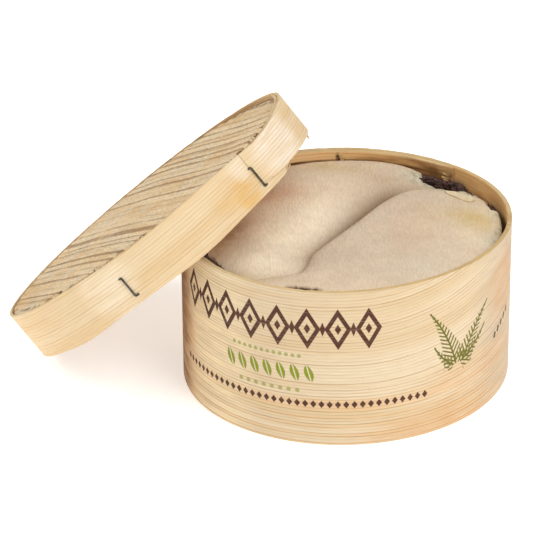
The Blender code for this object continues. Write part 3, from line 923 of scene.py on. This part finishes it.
# Dull wire of the two staples on the lid, and the paler tip that shows inside the box
wireLooks = {
    "stapleWire": (paint(84, 80, 64), paint(52, 46, 36)),
    "stapleTip": (paint(178, 152, 116), paint(120, 96, 66)),
    "tarnish": 900.0,
    "roughness": (0.42, 0.75),
    "metallic": 0.2,
}


def wireMaterial(name):
    light, dark = wireLooks[name]
    made, tree, shader = newMaterial(name)
    tarnish = blotchesAt(tree, objectPlace(tree), wireLooks["tarnish"], 0.50, 0.12)
    feed(tree, shader, {
        "Base Color": blended(tree, tarnish["Blotch"], light, dark),
        "Roughness": ranged(tree, tarnish["Speck"], 0.0, 1.0, *wireLooks["roughness"]),
        "Metallic": wireLooks["metallic"],
    })
    return made


finishes = {name: stripMaterial(name, name == "boxOutside") for name in stripLooks}
finishes |= {
    "lidBoard": boardMaterial("lidBoard", lidCentre, lidTilt),
    "baseBoard": boardMaterial("baseBoard", (0.0, 0.0, 0.0), 0.0),
    "rind": rindMaterial(),
    "bark": barkMaterial(),
    "wire": wireMaterial("stapleWire"),
    "wireTip": wireMaterial("stapleTip"),
}
print("finishes made")

# Edges bent more than this stay sharp
sharpFrom = math.radians(50)


def meshFrom(name, bm, materials):
    mesh = bpy.data.meshes.new(name)
    bm.to_mesh(mesh)
    bm.free()
    mesh.shade_smooth()
    for finish in materials:
        mesh.materials.append(finish)
    return mesh


def addObject(name, data):
    made = bpy.data.objects.new(name, data)
    bpy.context.scene.collection.objects.link(made)
    return made


def declare(piece, node):
    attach(piece, "root")
    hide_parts(node)


def placePiece(name, bm, finish, node):
    bmesh.ops.remove_doubles(bm, verts=bm.verts, dist=1e-7)
    bmesh.ops.recalc_face_normals(bm, faces=bm.faces)
    mesh = meshFrom(name, bm, [finishes[finish]])
    mesh.set_sharp_from_angle(angle=sharpFrom)
    declare(addObject(name, mesh), node)


def roughness(place, scale, seed=0.0):
    return noise.noise(Vector(place) * scale + Vector((seed, seed * 1.7, -seed)))


def roughAround(angles, scale, seed=0.0):
    return np.array([roughness((math.cos(a), math.sin(a), 0), scale, seed) for a in angles])


# The ends of both strips are shaved to a share of their thickness, and their edges are soft
stripEnds = {"thinned": 0.20, "over": 0.005, "softEdge": 0.00022}


def bendStrip(name, node, shape, place, middle, outside, inside):
    # a flat grid bent round; its map keeps the place along and across the strip
    thinned = stripEnds["thinned"]
    turns = fullTurn + math.radians(shape["lap"])
    bm = bmesh.new()
    bmesh.ops.create_grid(bm, x_segments=shape["steps"], y_segments=shape["rows"], size=0.5)
    layer = bm.loops.layers.uv.new("strip")
    flat = {}
    thin = {}
    for vert in bm.verts:
        turn = (vert.co.x + 0.5) * turns
        vert.co, height = place(turn, vert.co.y + 0.5)
        flat[vert] = (turn * shape["radius"], height)
        toEnd = min(turn, turns - turn) * shape["radius"]
        grown = float(smoothStep(toEnd / stripEnds["over"]))
        thin[vert.index] = thinned + (1.0 - thinned) * grown
    for face in bm.faces:
        for loop in face.loops:
            loop[layer].uv = flat[loop.vert]
    bm.normal_update()
    bm.faces.ensure_lookup_table()
    face = bm.faces[len(bm.faces) // 2]
    if face.normal.dot(face.calc_center_median() - middle) < 0:
        bmesh.ops.reverse_faces(bm, faces=bm.faces)
    piece = addObject(name, meshFrom(name, bm, [finishes[outside], finishes[inside],
                                                finishes["cutEdge"]]))
    group = piece.vertex_groups.new(name="thickness")
    for index, weight in thin.items():
        group.add([index], weight, "REPLACE")
    wall = piece.modifiers.new("thickness", "SOLIDIFY")
    wall.thickness = shape["strip"]
    wall.offset = -1.0
    wall.use_even_offset = True
    wall.vertex_group = "thickness"
    wall.material_offset = 1
    wall.material_offset_rim = 2
    soft = piece.modifiers.new("soft edges", "BEVEL")
    soft.width = stripEnds["softEdge"]
    soft.segments = 2
    soft.limit_method = "ANGLE"
    soft.angle_limit = sharpFrom
    declare(piece, node)


def boxStripPlace(turn, share):
    frayOver = math.radians(boxShape["frayOver"])
    angle = math.radians(boxShape["lapStart"]) + turn
    way = (math.cos(angle), math.sin(angle), turn)
    wear = boxShape["rimWear"] * max(0.0, roughness(way, 9.0) + 0.6 * roughness(way, 60.0))
    top = boxShape["height"] - min(wear, 2 * boxShape["rimWear"])
    z = boxShape["foot"] + share * (top - boxShape["foot"])
    fray = roughness((0, 0, z), 420.0) + 0.7 * roughness((0, 0, z), 1500.0) - 0.4
    angle += math.radians(boxShape["endFray"]) * fray * max(0.0, 1.0 - turn / frayOver)
    inset = lapInsetAt(turn, boxShape["lap"], boxShape["strip"])
    r = boxRadiusAt(angle, z) - float(inset)
    return boxPoint(angle, r, z), z


def lidStripPlace(turn, share):
    angle = math.radians(lidShape["lapStart"]) - turn

    def risen(named):
        start, width, size = named
        return size * float(smoothStep((turn - math.radians(start)) / math.radians(width)))

    way = (math.cos(angle), math.sin(angle), turn)
    low = lidShape["innerTaper"][2] - risen(lidShape["innerTaper"])
    low += risen(lidShape["outerRise"]) + risen(lidShape["endRise"])
    low += float(wavesAt(angle, lidShape["openEdgeWaves"]))
    low += lidShape["edgeWear"] * max(0.0, roughness(way, 40.0, 3.0))
    high = lidShape["height"] + float(wavesAt(angle, lidShape["boardEdgeWaves"]))
    high -= lidShape["edgeWear"] * max(0.0, roughness(way, 30.0, 5.0))
    h = low + share * (high - low)
    r = lidShape["radius"] - float(lapInsetAt(turn, lidShape["lap"], lidShape["strip"]))
    toEnd = (fullTurn + math.radians(lidShape["lap"]) - turn) * lidShape["radius"]
    r -= lidShape["pressed"] * float(1.0 - smoothStep(toEnd / lidShape["pressedOver"]))
    return lidPoint(angle, r, h), h


bendStrip("box_strip", "box_wall", boxShape, boxStripPlace, Vector((0, 0, 0.03)),
          "boxOutside", "boxInside")
bendStrip("lid_strip", "lid_rim", lidShape, lidStripPlace, lidPlace @ Vector((0, 0, 0.01)),
          "lidOutside", "lidInside")
print("strips bent")


def anglesRound(count):
    return fullTurn * np.arange(count) / count


def loftRings(rings, closed):
    # draws one ring of edges out through the others; an open loft gets a fan over each end
    bm = bmesh.new()
    azimuth = bm.verts.layers.int.new("azimuth")
    verts = [bm.verts.new(p) for p in rings[0]]
    for k, vert in enumerate(verts):
        vert[azimuth] = k
    loop = [bm.edges.new((verts[k - 1], verts[k])) for k in range(len(verts))]
    ends = [loop]
    for ring in rings[1:] + (rings[:1] if closed else []):
        drawn = bmesh.ops.extrude_edge_only(bm, edges=loop)["geom"]
        moved = {item for item in drawn if isinstance(item, bmesh.types.BMVert)}
        for vert in moved:
            vert.co = ring[vert[azimuth]]
        loop = [item for item in drawn if isinstance(item, bmesh.types.BMEdge)
                and moved.issuperset(item.verts)]
    ends.append(loop)
    if not closed:
        for end in ends:
            face = bmesh.ops.contextual_create(bm, geom=end)["faces"][0]
            bmesh.ops.poke(bm, faces=[face])
    return bm


def ringPoints(radii, heights, centre=(0.0, 0.0)):
    angles = anglesRound(len(radii))
    x = centre[0] + radii * np.cos(angles)
    y = centre[1] + radii * np.sin(angles)
    if callable(heights):
        heights = heights(x, y)
    return np.stack([x, y, heights + 0.0 * x], axis=1)


boardShape = {
    "segments": 420,
    "step": 0.0009,
    "bevel": 0.0005,
    "chips": 0.0010,
    "chipsReach": 0.003,      # how far in from the edge the chips reach
    "saw": 0.00022,
    "edgePaintedShade": (0.0045, 0.0040),      # where the painted shade starts from the edge, and its fade
}


def makeBoard(name, node, clear, bottom, thickness, sink, place, finish):
    # a sawn round board with a chipped edge and a top that the saw left a little rough
    angles = anglesRound(boardShape["segments"])
    edge = clear(angles) - lidShape["boardAir"]
    chips = roughAround(angles, 45.0, bottom * 50) + 0.5 * roughAround(angles, 160.0)
    chips = boardShape["chips"] * np.maximum(0.0, chips)
    bevel = boardShape["bevel"]

    def settled(x):
        # the lid's board sits deeper in its strip towards one side
        start, width, raised, sunk = sink
        return bottom + thickness + raised - (raised + sunk) * smoothStep((x - start) / width)

    def sawn(x, y):
        rough = [roughness((a * 0.25 + b * 0.31, b * 0.25 - a * 0.31, 0.0), 900.0)
                 for a, b in zip(x, y)]
        return settled(x) - boardShape["saw"] * (0.5 + np.array(rough))

    rings = [ringPoints(edge * share, bottom) for share in (0.15, 0.5, 0.8)]
    rings += [ringPoints(edge - bevel, bottom), ringPoints(edge, bottom + bevel),
              ringPoints(edge - chips * 0.4, lambda x, y: settled(x) - 3 * bevel),
              ringPoints(edge - chips, lambda x, y: settled(x) - bevel)]
    inset, reach = bevel, boardShape["chipsReach"]
    while inset < lidShape["radius"] - reach:
        radii = edge - chips * max(0.0, 1 - inset / reach)
        rings.append(ringPoints(radii * (1 - inset / lidShape["radius"]), sawn))
        inset += boardShape["step"]
    bm = loftRings(rings, closed=False)
    # how much painted shade each point gets, growing towards the board's edge
    edgeLayer = bm.verts.layers.float.new("edge")
    width, fade = boardShape["edgePaintedShade"]
    start = float(np.mean(edge)) - width
    for vert in bm.verts:
        vert[edgeLayer] = float(smoothStep((vert.co.xy.length - start) / fade))
    bmesh.ops.transform(bm, matrix=place, verts=bm.verts)
    placePiece(name, bm, finish, node)


makeBoard("lid_top", "lid_board", lidClearRadiusAt, lidShape["hollow"], lidShape["board"],
          lidShape["boardSink"], lidPlace, "lidBoard")
makeBoard("box_bottom", "base_board", lambda angle: clearRadiusAt(angle, 0.0), 0.0,
          boxShape["base"], boxShape["baseSink"], Matrix.Identity(4), "baseBoard")
print("boards sawn")


def foldPoints():
    points = [Vector(p) for p in cheeseShape["fold"]]
    samples = cheeseShape["foldSamples"]
    line = [points[0]]
    for i in range(1, len(points) - 2):
        p0, p1, p2, p3 = points[i - 1:i + 3]
        for k in range(samples):
            t = k / samples
            line.append(0.5 * (2 * p1 + (p2 - p0) * t + (2 * p0 - 5 * p1 + 4 * p2 - p3) * t * t
                               + (3 * p1 - p0 - 3 * p2 + p3) * t ** 3))
    return np.array([tuple(p) for p in line + points[-2:]])


foldLine = foldPoints()


def foldDistanceAt(x, y):
    # distance to the fold, positive on the lobe's side, and the share of the way along it
    best = np.full(x.shape, 1.0)
    side = np.ones(x.shape)
    along = np.zeros(x.shape)
    for i in range(len(foldLine) - 1):
        start = foldLine[i]
        run = foldLine[i + 1] - start
        t = np.clip(((x - start[0]) * run[0] + (y - start[1]) * run[1]) / (run @ run), 0.0, 1.0)
        dx = x - start[0] - run[0] * t
        dy = y - start[1] - run[1] * t
        away = np.hypot(dx, dy)
        nearer = away < best
        turned = run[0] * (y - start[1]) - run[1] * (x - start[0])
        side = np.where(nearer, np.where(turned > 0, 1.0, -1.0), side)
        along = np.where(nearer, (i + t) / (len(foldLine) - 1), along)
        best = np.where(nearer, away, best)
    return best * side, along


def rindLevelAt(x, y):
    distance, along = foldDistanceAt(x, y)
    rounded = 1.0 - np.exp(-np.abs(distance) / cheeseShape["lobeRounding"])
    lobe = cheeseShape["lobeStep"] * rounded
    slope = cheeseShape["slopeRise"] * (1.0 - np.exp(-(distance / cheeseShape["slopeReach"]) ** 2))
    level = cheeseShape["creaseLevel"] + np.where(distance > 0, lobe, slope)
    for centre, reach, size in cheeseShape["humps"]:
        fall = ((x - centre[0]) / reach[0]) ** 2 + ((y - centre[1]) / reach[1]) ** 2
        level = level + size * np.exp(-fall)
    return level


def rindRelief(x, y, z, rough):
    # soft dents all over, and lumps where the mould grows
    dent, smallDent = cheeseShape["dents"]
    lump, smallLump = cheeseShape["lumps"]
    relief = []
    for a, b, c, r in zip(x, y, z, rough):
        place = (a, b, c)
        dents = dent * roughness(place, 130.0) + smallDent * roughness(place, 420.0)
        lumps = lump * roughness(place, 330.0, 2.0) + smallLump * roughness(place, 800.0)
        relief.append(dents + r * lumps)
    return np.array(relief)


def patchesAt(x, y, wanted):
    total = 0.0 * x
    for key, centre, reach, share in rindLooks["patches"]:
        if key == wanted:
            fall = ((x - centre[0]) / reach[0]) ** 2 + ((y - centre[1]) / reach[1]) ** 2
            total = total + share * np.exp(-fall)
    return np.clip(total, 0.0, 1.0)


def cheeseRadiusAt(angle, z):
    gap = 2 * cheeseShape["barkAir"] + cheeseShape["barkThickness"]
    return clearRadiusAt(angle, z) - gap


def lipRadiusAt(angle):
    clear = clearRadiusAt(angle, boxShape["height"]) - cheeseShape["lipAir"]
    return clear - bumpsAt(angle, cheeseShape["pulls"])


def rindTopAt(x, y):
    inside = lipRadiusAt(np.arctan2(y, x)) - np.hypot(x, y)
    level = rindLevelAt(x, y)
    level = level - cheeseShape["edgeDrop"] * np.exp(-inside / cheeseShape["edgeRounding"])
    return level + rindRelief(x, y, level, patchesAt(x, y, "mould"))


def cheeseRings():
    shape = cheeseShape
    angles = anglesRound(shape["segments"])
    bottom = boxShape["base"] + boxShape["air"]
    # the rind's edge is torn where it has drawn back
    torn = bumpsAt(angles, shape["pulls"]) / shape["tearFrom"]
    torn = torn * shape["tear"] * roughAround(angles, 55.0)
    lip = lipRadiusAt(angles) + np.minimum(torn, shape["tearOut"])
    edge = rindTopAt(lip * np.cos(angles), lip * np.sin(angles))
    crest = shape["barkTop"] + bumpsAt(angles, shape["crests"])
    under = np.minimum(crest + 2 * boxShape["air"], edge - shape["lipThickness"])
    halfway = (under + edge) / 2
    rounding = shape["lipRounding"]
    rings = [ringPoints(cheeseRadiusAt(angles, bottom) * 0.5, bottom),
             ringPoints(cheeseRadiusAt(angles, bottom) - 0.002, bottom),
             ringPoints(cheeseRadiusAt(angles, bottom), bottom + 0.002)]
    for share in (0.25, 0.5, 0.75):
        z = bottom + share * (shape["barkTop"] - bottom)
        rings.append(ringPoints(cheeseRadiusAt(angles, z), z))
    rings += [ringPoints(cheeseRadiusAt(angles, crest), under),
              ringPoints(lip - rounding, under + rounding),
              ringPoints(lip - rounding * 0.15, halfway),
              ringPoints(lip - rounding * 0.10,
                         np.maximum(halfway + 0.0002, edge - shape["sideRing"])),
              ringPoints(lip, edge - rounding),
              ringPoints(lip - rounding * 0.35, edge - rounding * 0.3)]
    inset, step = rounding * 1.2, shape["ringStep"]
    last = boxShape["radius"] - 0.003
    while inset < last:
        share = (inset - rounding) / last
        centre = (shape["middle"][0] * share, shape["middle"][1] * share)
        rings.append(ringPoints(lip * (1 - inset / boxShape["radius"]), rindTopAt, centre))
        inset += step
        step = min(step * shape["ringGrowth"], shape["ringStepMost"])
    return rings


def makeCheese():
    shape = cheeseShape
    bm = loftRings(cheeseRings(), closed=False)
    x = np.array([v.co.x for v in bm.verts])
    y = np.array([v.co.y for v in bm.verts])
    distance, along = foldDistanceAt(x, y)
    # the painted shade beside the fold is darkest on the slope that runs down into it, and fades
    # out at both ends
    width = np.interp(along, shape["creaseAlong"], shape["creaseWidth"])
    strength = np.interp(along, shape["creaseAlong"], shape["creaseShade"])
    near = np.where(distance > 0, np.exp(-(distance / shape["creaseOnLobe"]) ** 2),
                    np.exp(-(np.abs(distance) / width) ** shape["creaseFall"]))
    warm = bm.verts.layers.float_color.new("warmRind")
    cool = bm.verts.layers.float_color.new("coolRind")
    shade = bm.verts.layers.float.new("sideShade")
    levels = rindTopAt(x, y)
    # the light patches give painted light
    pink, brown, yellow, mould, light = (patchesAt(x, y, key) for key in
                                         ("pink", "brown", "yellow", "mould", "light"))
    for i, vert in enumerate(bm.verts):
        vert[warm] = (pink[i], brown[i], yellow[i], 1.0)
        vert[cool] = (near[i] * strength[i], mould[i], light[i], 1.0)
        below = levels[i] - vert.co.z - shape["sideFrom"]
        vert[shade] = float(smoothStep(below / shape["sideFade"]))
    placePiece("rind", bm, "rind", "cheese")


makeCheese()
print("cheese made")


def makeBark():
    # the girdle's band, ragged along its top, with a crumbly face
    shape = cheeseShape
    angles = anglesRound(shape["barkSegments"])
    bottom = boxShape["base"] + boxShape["air"]
    broad, fine = shape["barkRagged"]
    ragged = broad * roughAround(angles, 30.0, 8.0) + fine * roughAround(angles, 120.0, 9.0)
    crest = shape["barkTop"] + bumpsAt(angles, shape["crests"])
    crest = crest + np.minimum(ragged, shape["barkStands"])
    low = clearRadiusAt(angles, bottom) - shape["barkAir"]
    outer = clearRadiusAt(angles, crest) - shape["barkAir"]
    thickness = shape["barkThickness"]

    def crumbs(seed):
        return shape["barkCrumbs"] * np.abs(roughAround(angles, 150.0, seed))

    rings = [ringPoints(low - thickness, bottom),
             ringPoints(low, bottom),
             ringPoints(outer - crumbs(1.0), crest - 0.0020),
             ringPoints(outer - crumbs(2.0), crest - 0.0006),
             ringPoints(outer - 0.0005 - crumbs(3.0), crest - crumbs(6.0)),
             ringPoints(outer - 0.0012, crest - crumbs(4.0)),
             ringPoints(outer - thickness + 0.0005 + crumbs(5.0), crest - crumbs(7.0)),
             ringPoints(outer - thickness, crest - 0.0008)]
    placePiece("bark_band", loftRings(rings, closed=True), "bark", "bark_girdle")


makeBark()
print("bark made")

# The wire's radius, how deep the crown sits in the wood, how far its ends turn aside, its bends
# and its clinched tips. Then each staple's node, angle in degrees, low and high end
stapleShape = {
    "wire": 0.00042,
    "sunk": 0.00012,
    "aside": (0.0013, -0.0009),
    "bend": 0.0004,
    "tip": 0.0022,
    "staples": {
        "staple_left": ("lid_staple_left", -78.3, 0.0028, 0.0124),
        "staple_lap": ("lid_staple_lap", -22.4, 0.0023, 0.0122),
    },
}


def wireMesh(name, points, radius):
    # a bent wire drawn out along its points with rounded corners
    curve = bpy.data.curves.new(name, "CURVE")
    curve.dimensions = "3D"
    curve.bevel_depth = radius
    curve.bevel_resolution = 3
    curve.use_fill_caps = True
    spline = curve.splines.new("POLY")
    spline.points.add(len(points) - 1)
    for spot, point in zip(spline.points, points):
        spot.co = (*point, 1.0)
    holder = bpy.data.objects.new(name, curve)
    mesh = bpy.data.meshes.new_from_object(holder)
    bpy.data.objects.remove(holder)
    bpy.data.curves.remove(curve)
    return mesh


def roundedPath(corners, radius):
    # the corners of a path, each cut to a short arc of three points
    path = [corners[0]]
    for before, corner, after in zip(corners, corners[1:], corners[2:]):
        into = corner + (before - corner).normalized() * radius
        out = corner + (after - corner).normalized() * radius
        path += [into, (into + out + 2 * corner) / 4, out]
    return path + [corners[-1]]


def makeStaple(name, node, outside, inside, angle, low, high, point, finish):
    # the crown's two ends turn aside a little before the legs go into the wood
    wire, sunk, tip = stapleShape["wire"], stapleShape["sunk"], stapleShape["tip"]
    lowSide, highSide = (angle + aside / lidShape["radius"] for aside in stapleShape["aside"])
    crown = outside + wire - sunk
    back = inside - wire + sunk
    corners = [point(lowSide, back, low + tip), point(lowSide, back, low + wire),
               point(lowSide, crown, low + wire), point(angle, crown, low + wire),
               point(angle, crown, high - wire), point(highSide, crown, high - wire),
               point(highSide, back, high - wire), point(highSide, back, high - tip)]
    bm = bmesh.new()
    bm.from_mesh(wireMesh(name, roundedPath(corners, stapleShape["bend"]), wire))
    placePiece(name, bm, finish, node)


for name, (node, azimuth, low, high) in stapleShape["staples"].items():
    angle = math.radians(azimuth)
    turn = math.radians(lidShape["lapStart"]) - angle
    inset = float(lapInsetAt(turn, lidShape["lap"], lidShape["strip"]))
    lapped = turn < math.radians(lidShape["lap"])
    outside = lidShape["radius"] - (lidShape["pressed"] if lapped else inset)
    inside = lidShape["radius"] - inset - lidShape["strip"]
    makeStaple(name, node, outside, inside, angle, low, high, lidPoint, "wire")


boxStaple = {"azimuth": 108, "low": 0.0530, "high": 0.0636}
face = float(boxRadiusAt(math.radians(boxStaple["azimuth"]), boxStaple["high"]))
makeStaple("staple_box", "box_staple", face, face - 2 * boxShape["strip"] - boxShape["air"],
           math.radians(boxStaple["azimuth"]), boxStaple["low"], boxStaple["high"], boxPoint,
           "wireTip")
print("staples bent")

# Small torn things: a tongue of rind, bark chips and splinters
scrapShape = {
    "tongue": {"from": (0.0316, 0.0378), "to": (0.0446, 0.0310), "wide": 0.0062,
               "thickness": 0.0009, "lift": 0.0004, "swell": 0.0005, "bend": 0.0007},
    # first and last azimuth, how far in from the wall, lowest and highest, count, size
    "chips": ((57, 73, (0.0010, 0.0046), (0.0560, 0.0594), 44, 0.0019),
              (44, 50, (0.0020, 0.0034), (0.0575, 0.0590), 6, 0.0011),
              (-138, -126, (0.0012, 0.0046), (0.0588, 0.0622), 44, 0.0015)),
    "chipThickness": 0.0004,
    # angle, height, length, thickness, lean
    "boxSplinters": ((107.3, 0.0624, 0.0040, 0.00100, 6), (106.7, 0.0618, 0.0030, 0.00080, -18),
                     (62.7, 0.0624, 0.0030, 0.00030, 86), (63.0, 0.0608, 0.0034, 0.00040, 93),
                     (62.6, 0.0599, 0.0024, 0.00036, 88)),
    "lidSplinters": ((16.5, 0.0018, 0.0042, 0.00030, 20), (17.6, 0.0016, 0.0034, 0.00024, -8),
                     (18.8, 0.0020, 0.0026, 0.00022, 34), (-9.0, 0.0008, 0.0030, 0.00030, 60),
                     (-9.8, 0.0010, 0.0022, 0.00022, 15)),
    "splinterDepth": 0.0006,      # how deep in the strip a splinter's middle lies
}


def makeTongue():
    look = scrapShape["tongue"]
    start, end = Vector(look["from"]), Vector(look["to"])
    along = end - start
    side = Vector((-along.y, along.x)).normalized()
    bm = bmesh.new()
    bmesh.ops.create_grid(bm, x_segments=36, y_segments=14, size=0.5)
    warm = bm.verts.layers.float_color.new("warmRind")
    cool = bm.verts.layers.float_color.new("coolRind")
    for vert in bm.verts:
        s, t = vert.co.x + 0.5, vert.co.y * 2
        outline = max(0.08, 1.0 - abs(2 * s - 1) ** 2.8) ** 0.5 * (0.78 + 0.3 * s)
        spot = start + along * s + side * (t * look["wide"] / 2 * outline)
        spot += side * look["bend"] * math.sin(3.4 * s)
        level = float(rindLevelAt(np.array([spot.x]), np.array([spot.y]))[0])
        rise = look["swell"] * (1 - t * t) + 0.0002 * roughness((*spot, 0), 700.0)
        vert.co = (spot.x, spot.y, level + look["lift"] + rise)
        vert[warm] = (0.0, 0.0, 0.55, 1.0)
        vert[cool] = (0.0, 0.2, 0.55, 1.0)
    bm.normal_update()
    bmesh.ops.solidify(bm, geom=bm.faces[:], thickness=look["thickness"])
    placePiece("rind_tongue", bm, "rind", "cheese")


def scatterChips(name, rows, finish, node):
    bm = bmesh.new()
    for first, last, inset, levels, count, size in rows:
        for k in range(count):
            angle = math.radians(random.uniform(first, last))
            r = float(clearRadiusAt(angle, boxShape["height"])) - random.uniform(*inset)
            place = boxPoint(angle, r, random.uniform(*levels))
            turned = Matrix.Rotation(angle + random.uniform(-0.6, 0.6), 3, "Z")
            turned @= Matrix.Rotation(random.uniform(0.2, 1.5), 3, "Y")
            made = bmesh.ops.create_grid(bm, x_segments=4, y_segments=5, size=0.5)["verts"]
            long, wide = size * random.uniform(0.4, 1.0), size * random.uniform(0.5, 1.3)
            for vert in made:
                torn = 1.0 + 0.5 * roughness(vert.co + place * 900, 3.0)
                bent = 0.25 * size * roughness(vert.co + place * 500, 1.6)
                flat = (vert.co.x * long * torn, vert.co.y * wide * torn, bent)
                vert.co = place + turned @ Vector(flat)
    bm.normal_update()
    bmesh.ops.solidify(bm, geom=bm.faces[:], thickness=scrapShape["chipThickness"])
    placePiece(name, bm, finish, node)


def makeSplinters(name, rows, point, turnedBy, node):
    bm = bmesh.new()
    for angle, height, long, thick, lean in rows:
        made = bmesh.ops.create_cone(bm, cap_ends=True, segments=6, radius1=thick,
                                     radius2=thick * 0.15, depth=long)["verts"]
        spot = point(math.radians(angle), height)
        turned = turnedBy.to_3x3().to_4x4() @ Matrix.Rotation(math.radians(angle), 4, "Z")
        turned @= Matrix.Rotation(math.pi - math.radians(lean), 4, "X")
        bmesh.ops.transform(bm, matrix=Matrix.Translation(spot) @ turned, verts=made)
    layer = bm.loops.layers.uv.new("strip")
    for face in bm.faces:
        for loop in face.loops:
            loop[layer].uv = (loop.vert.co.x + loop.vert.co.y, loop.vert.co.z)
    placePiece(name, bm, "cutEdge", node)


makeTongue()
scatterChips("bark_chips", scrapShape["chips"], "bark", "bark_girdle")
deep = scrapShape["splinterDepth"]
makeSplinters("lid_splinters", scrapShape["lidSplinters"],
              lambda a, h: lidPoint(a, lidShape["radius"] - deep, h), lidPlace,
              "lid_rim")
makeSplinters("box_splinters", scrapShape["boxSplinters"],
              lambda a, h: boxPoint(a, float(clearRadiusAt(a, h)) - deep, h),
              Matrix.Identity(4), "box_wall")
print("torn bits made")

# Camera and light
cameraLook = {
    "place": (0.24375, -0.81765, 0.47394),
    "forward": (-0.28409748, 0.84580378, -0.45155796),
    "up": (-0.11678042, 0.43693244, 0.89188137),
    "focal": 161.67,
    "sensor": 36.0,
}


def makeCamera():
    data = bpy.data.cameras.new("camera")
    data.sensor_width = cameraLook["sensor"]
    data.lens = cameraLook["focal"]
    camera = addObject("camera", data)
    forward = Vector(cameraLook["forward"]).normalized()
    right = forward.cross(Vector(cameraLook["up"])).normalized()
    up = right.cross(forward)
    turned = Matrix((right, up, -forward)).transposed().to_4x4()
    camera.matrix_world = Matrix.Translation(cameraLook["place"]) @ turned
    bpy.context.scene.camera = camera


studioLook = {
    "world": 0.54,
    # place, size, power, colour
    "lights": (
        ((0.62, -0.42, 0.78), 0.55, 5.2, (1.0, 0.99, 0.97)),
        ((0.20, 0.25, 1.10), 0.80, 1.6, (1.0, 1.0, 1.0)),
        ((-1.00, -0.10, 0.58), 0.50, 3.6, (1.0, 1.0, 1.0)),
    ),
    "aim": (0.0, 0.0, 0.04),
    "floor": 6.0,
    "floorColour": (0.92, 0.91, 0.90, 1.0),
    "floorGlow": 0.52,      # a lit table, which keeps the shadows faint
    "glowColour": (1.0, 0.99, 0.98, 1.0),
}


def makeStudio():
    world = bpy.data.worlds.new("studio")
    bpy.context.scene.world = world
    world.use_nodes = True
    feed(world.node_tree, world.node_tree.nodes["Background"],
         {"Color": (1.0, 1.0, 1.0, 1.0), "Strength": studioLook["world"]})
    for place, size, power, colour in studioLook["lights"]:
        data = bpy.data.lights.new("softbox", "AREA")
        data.shape = "DISK"
        data.size = size
        data.energy = power
        data.color = colour
        light = addObject("softbox", data)
        light.location = place
        aim = Vector(studioLook["aim"]) - Vector(place)
        light.rotation_euler = aim.to_track_quat("-Z", "Y").to_euler()
    bm = bmesh.new()
    bmesh.ops.create_grid(bm, x_segments=2, y_segments=2, size=studioLook["floor"])
    made, tree, shader = newMaterial("paleFloor")
    feed(tree, shader, {
        "Base Color": studioLook["floorColour"],
        "Roughness": 0.9,
        "Emission Color": studioLook["glowColour"],
        "Emission Strength": studioLook["floorGlow"],
    })
    addObject("floor", meshFrom("floor", bm, [made]))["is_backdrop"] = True
    bpy.context.scene.view_settings.view_transform = "Standard"


makeCamera()
makeStudio()
print("camera and light set")

low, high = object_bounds()
print("visual box", [round(v, 5) for v in (*low, *high)])
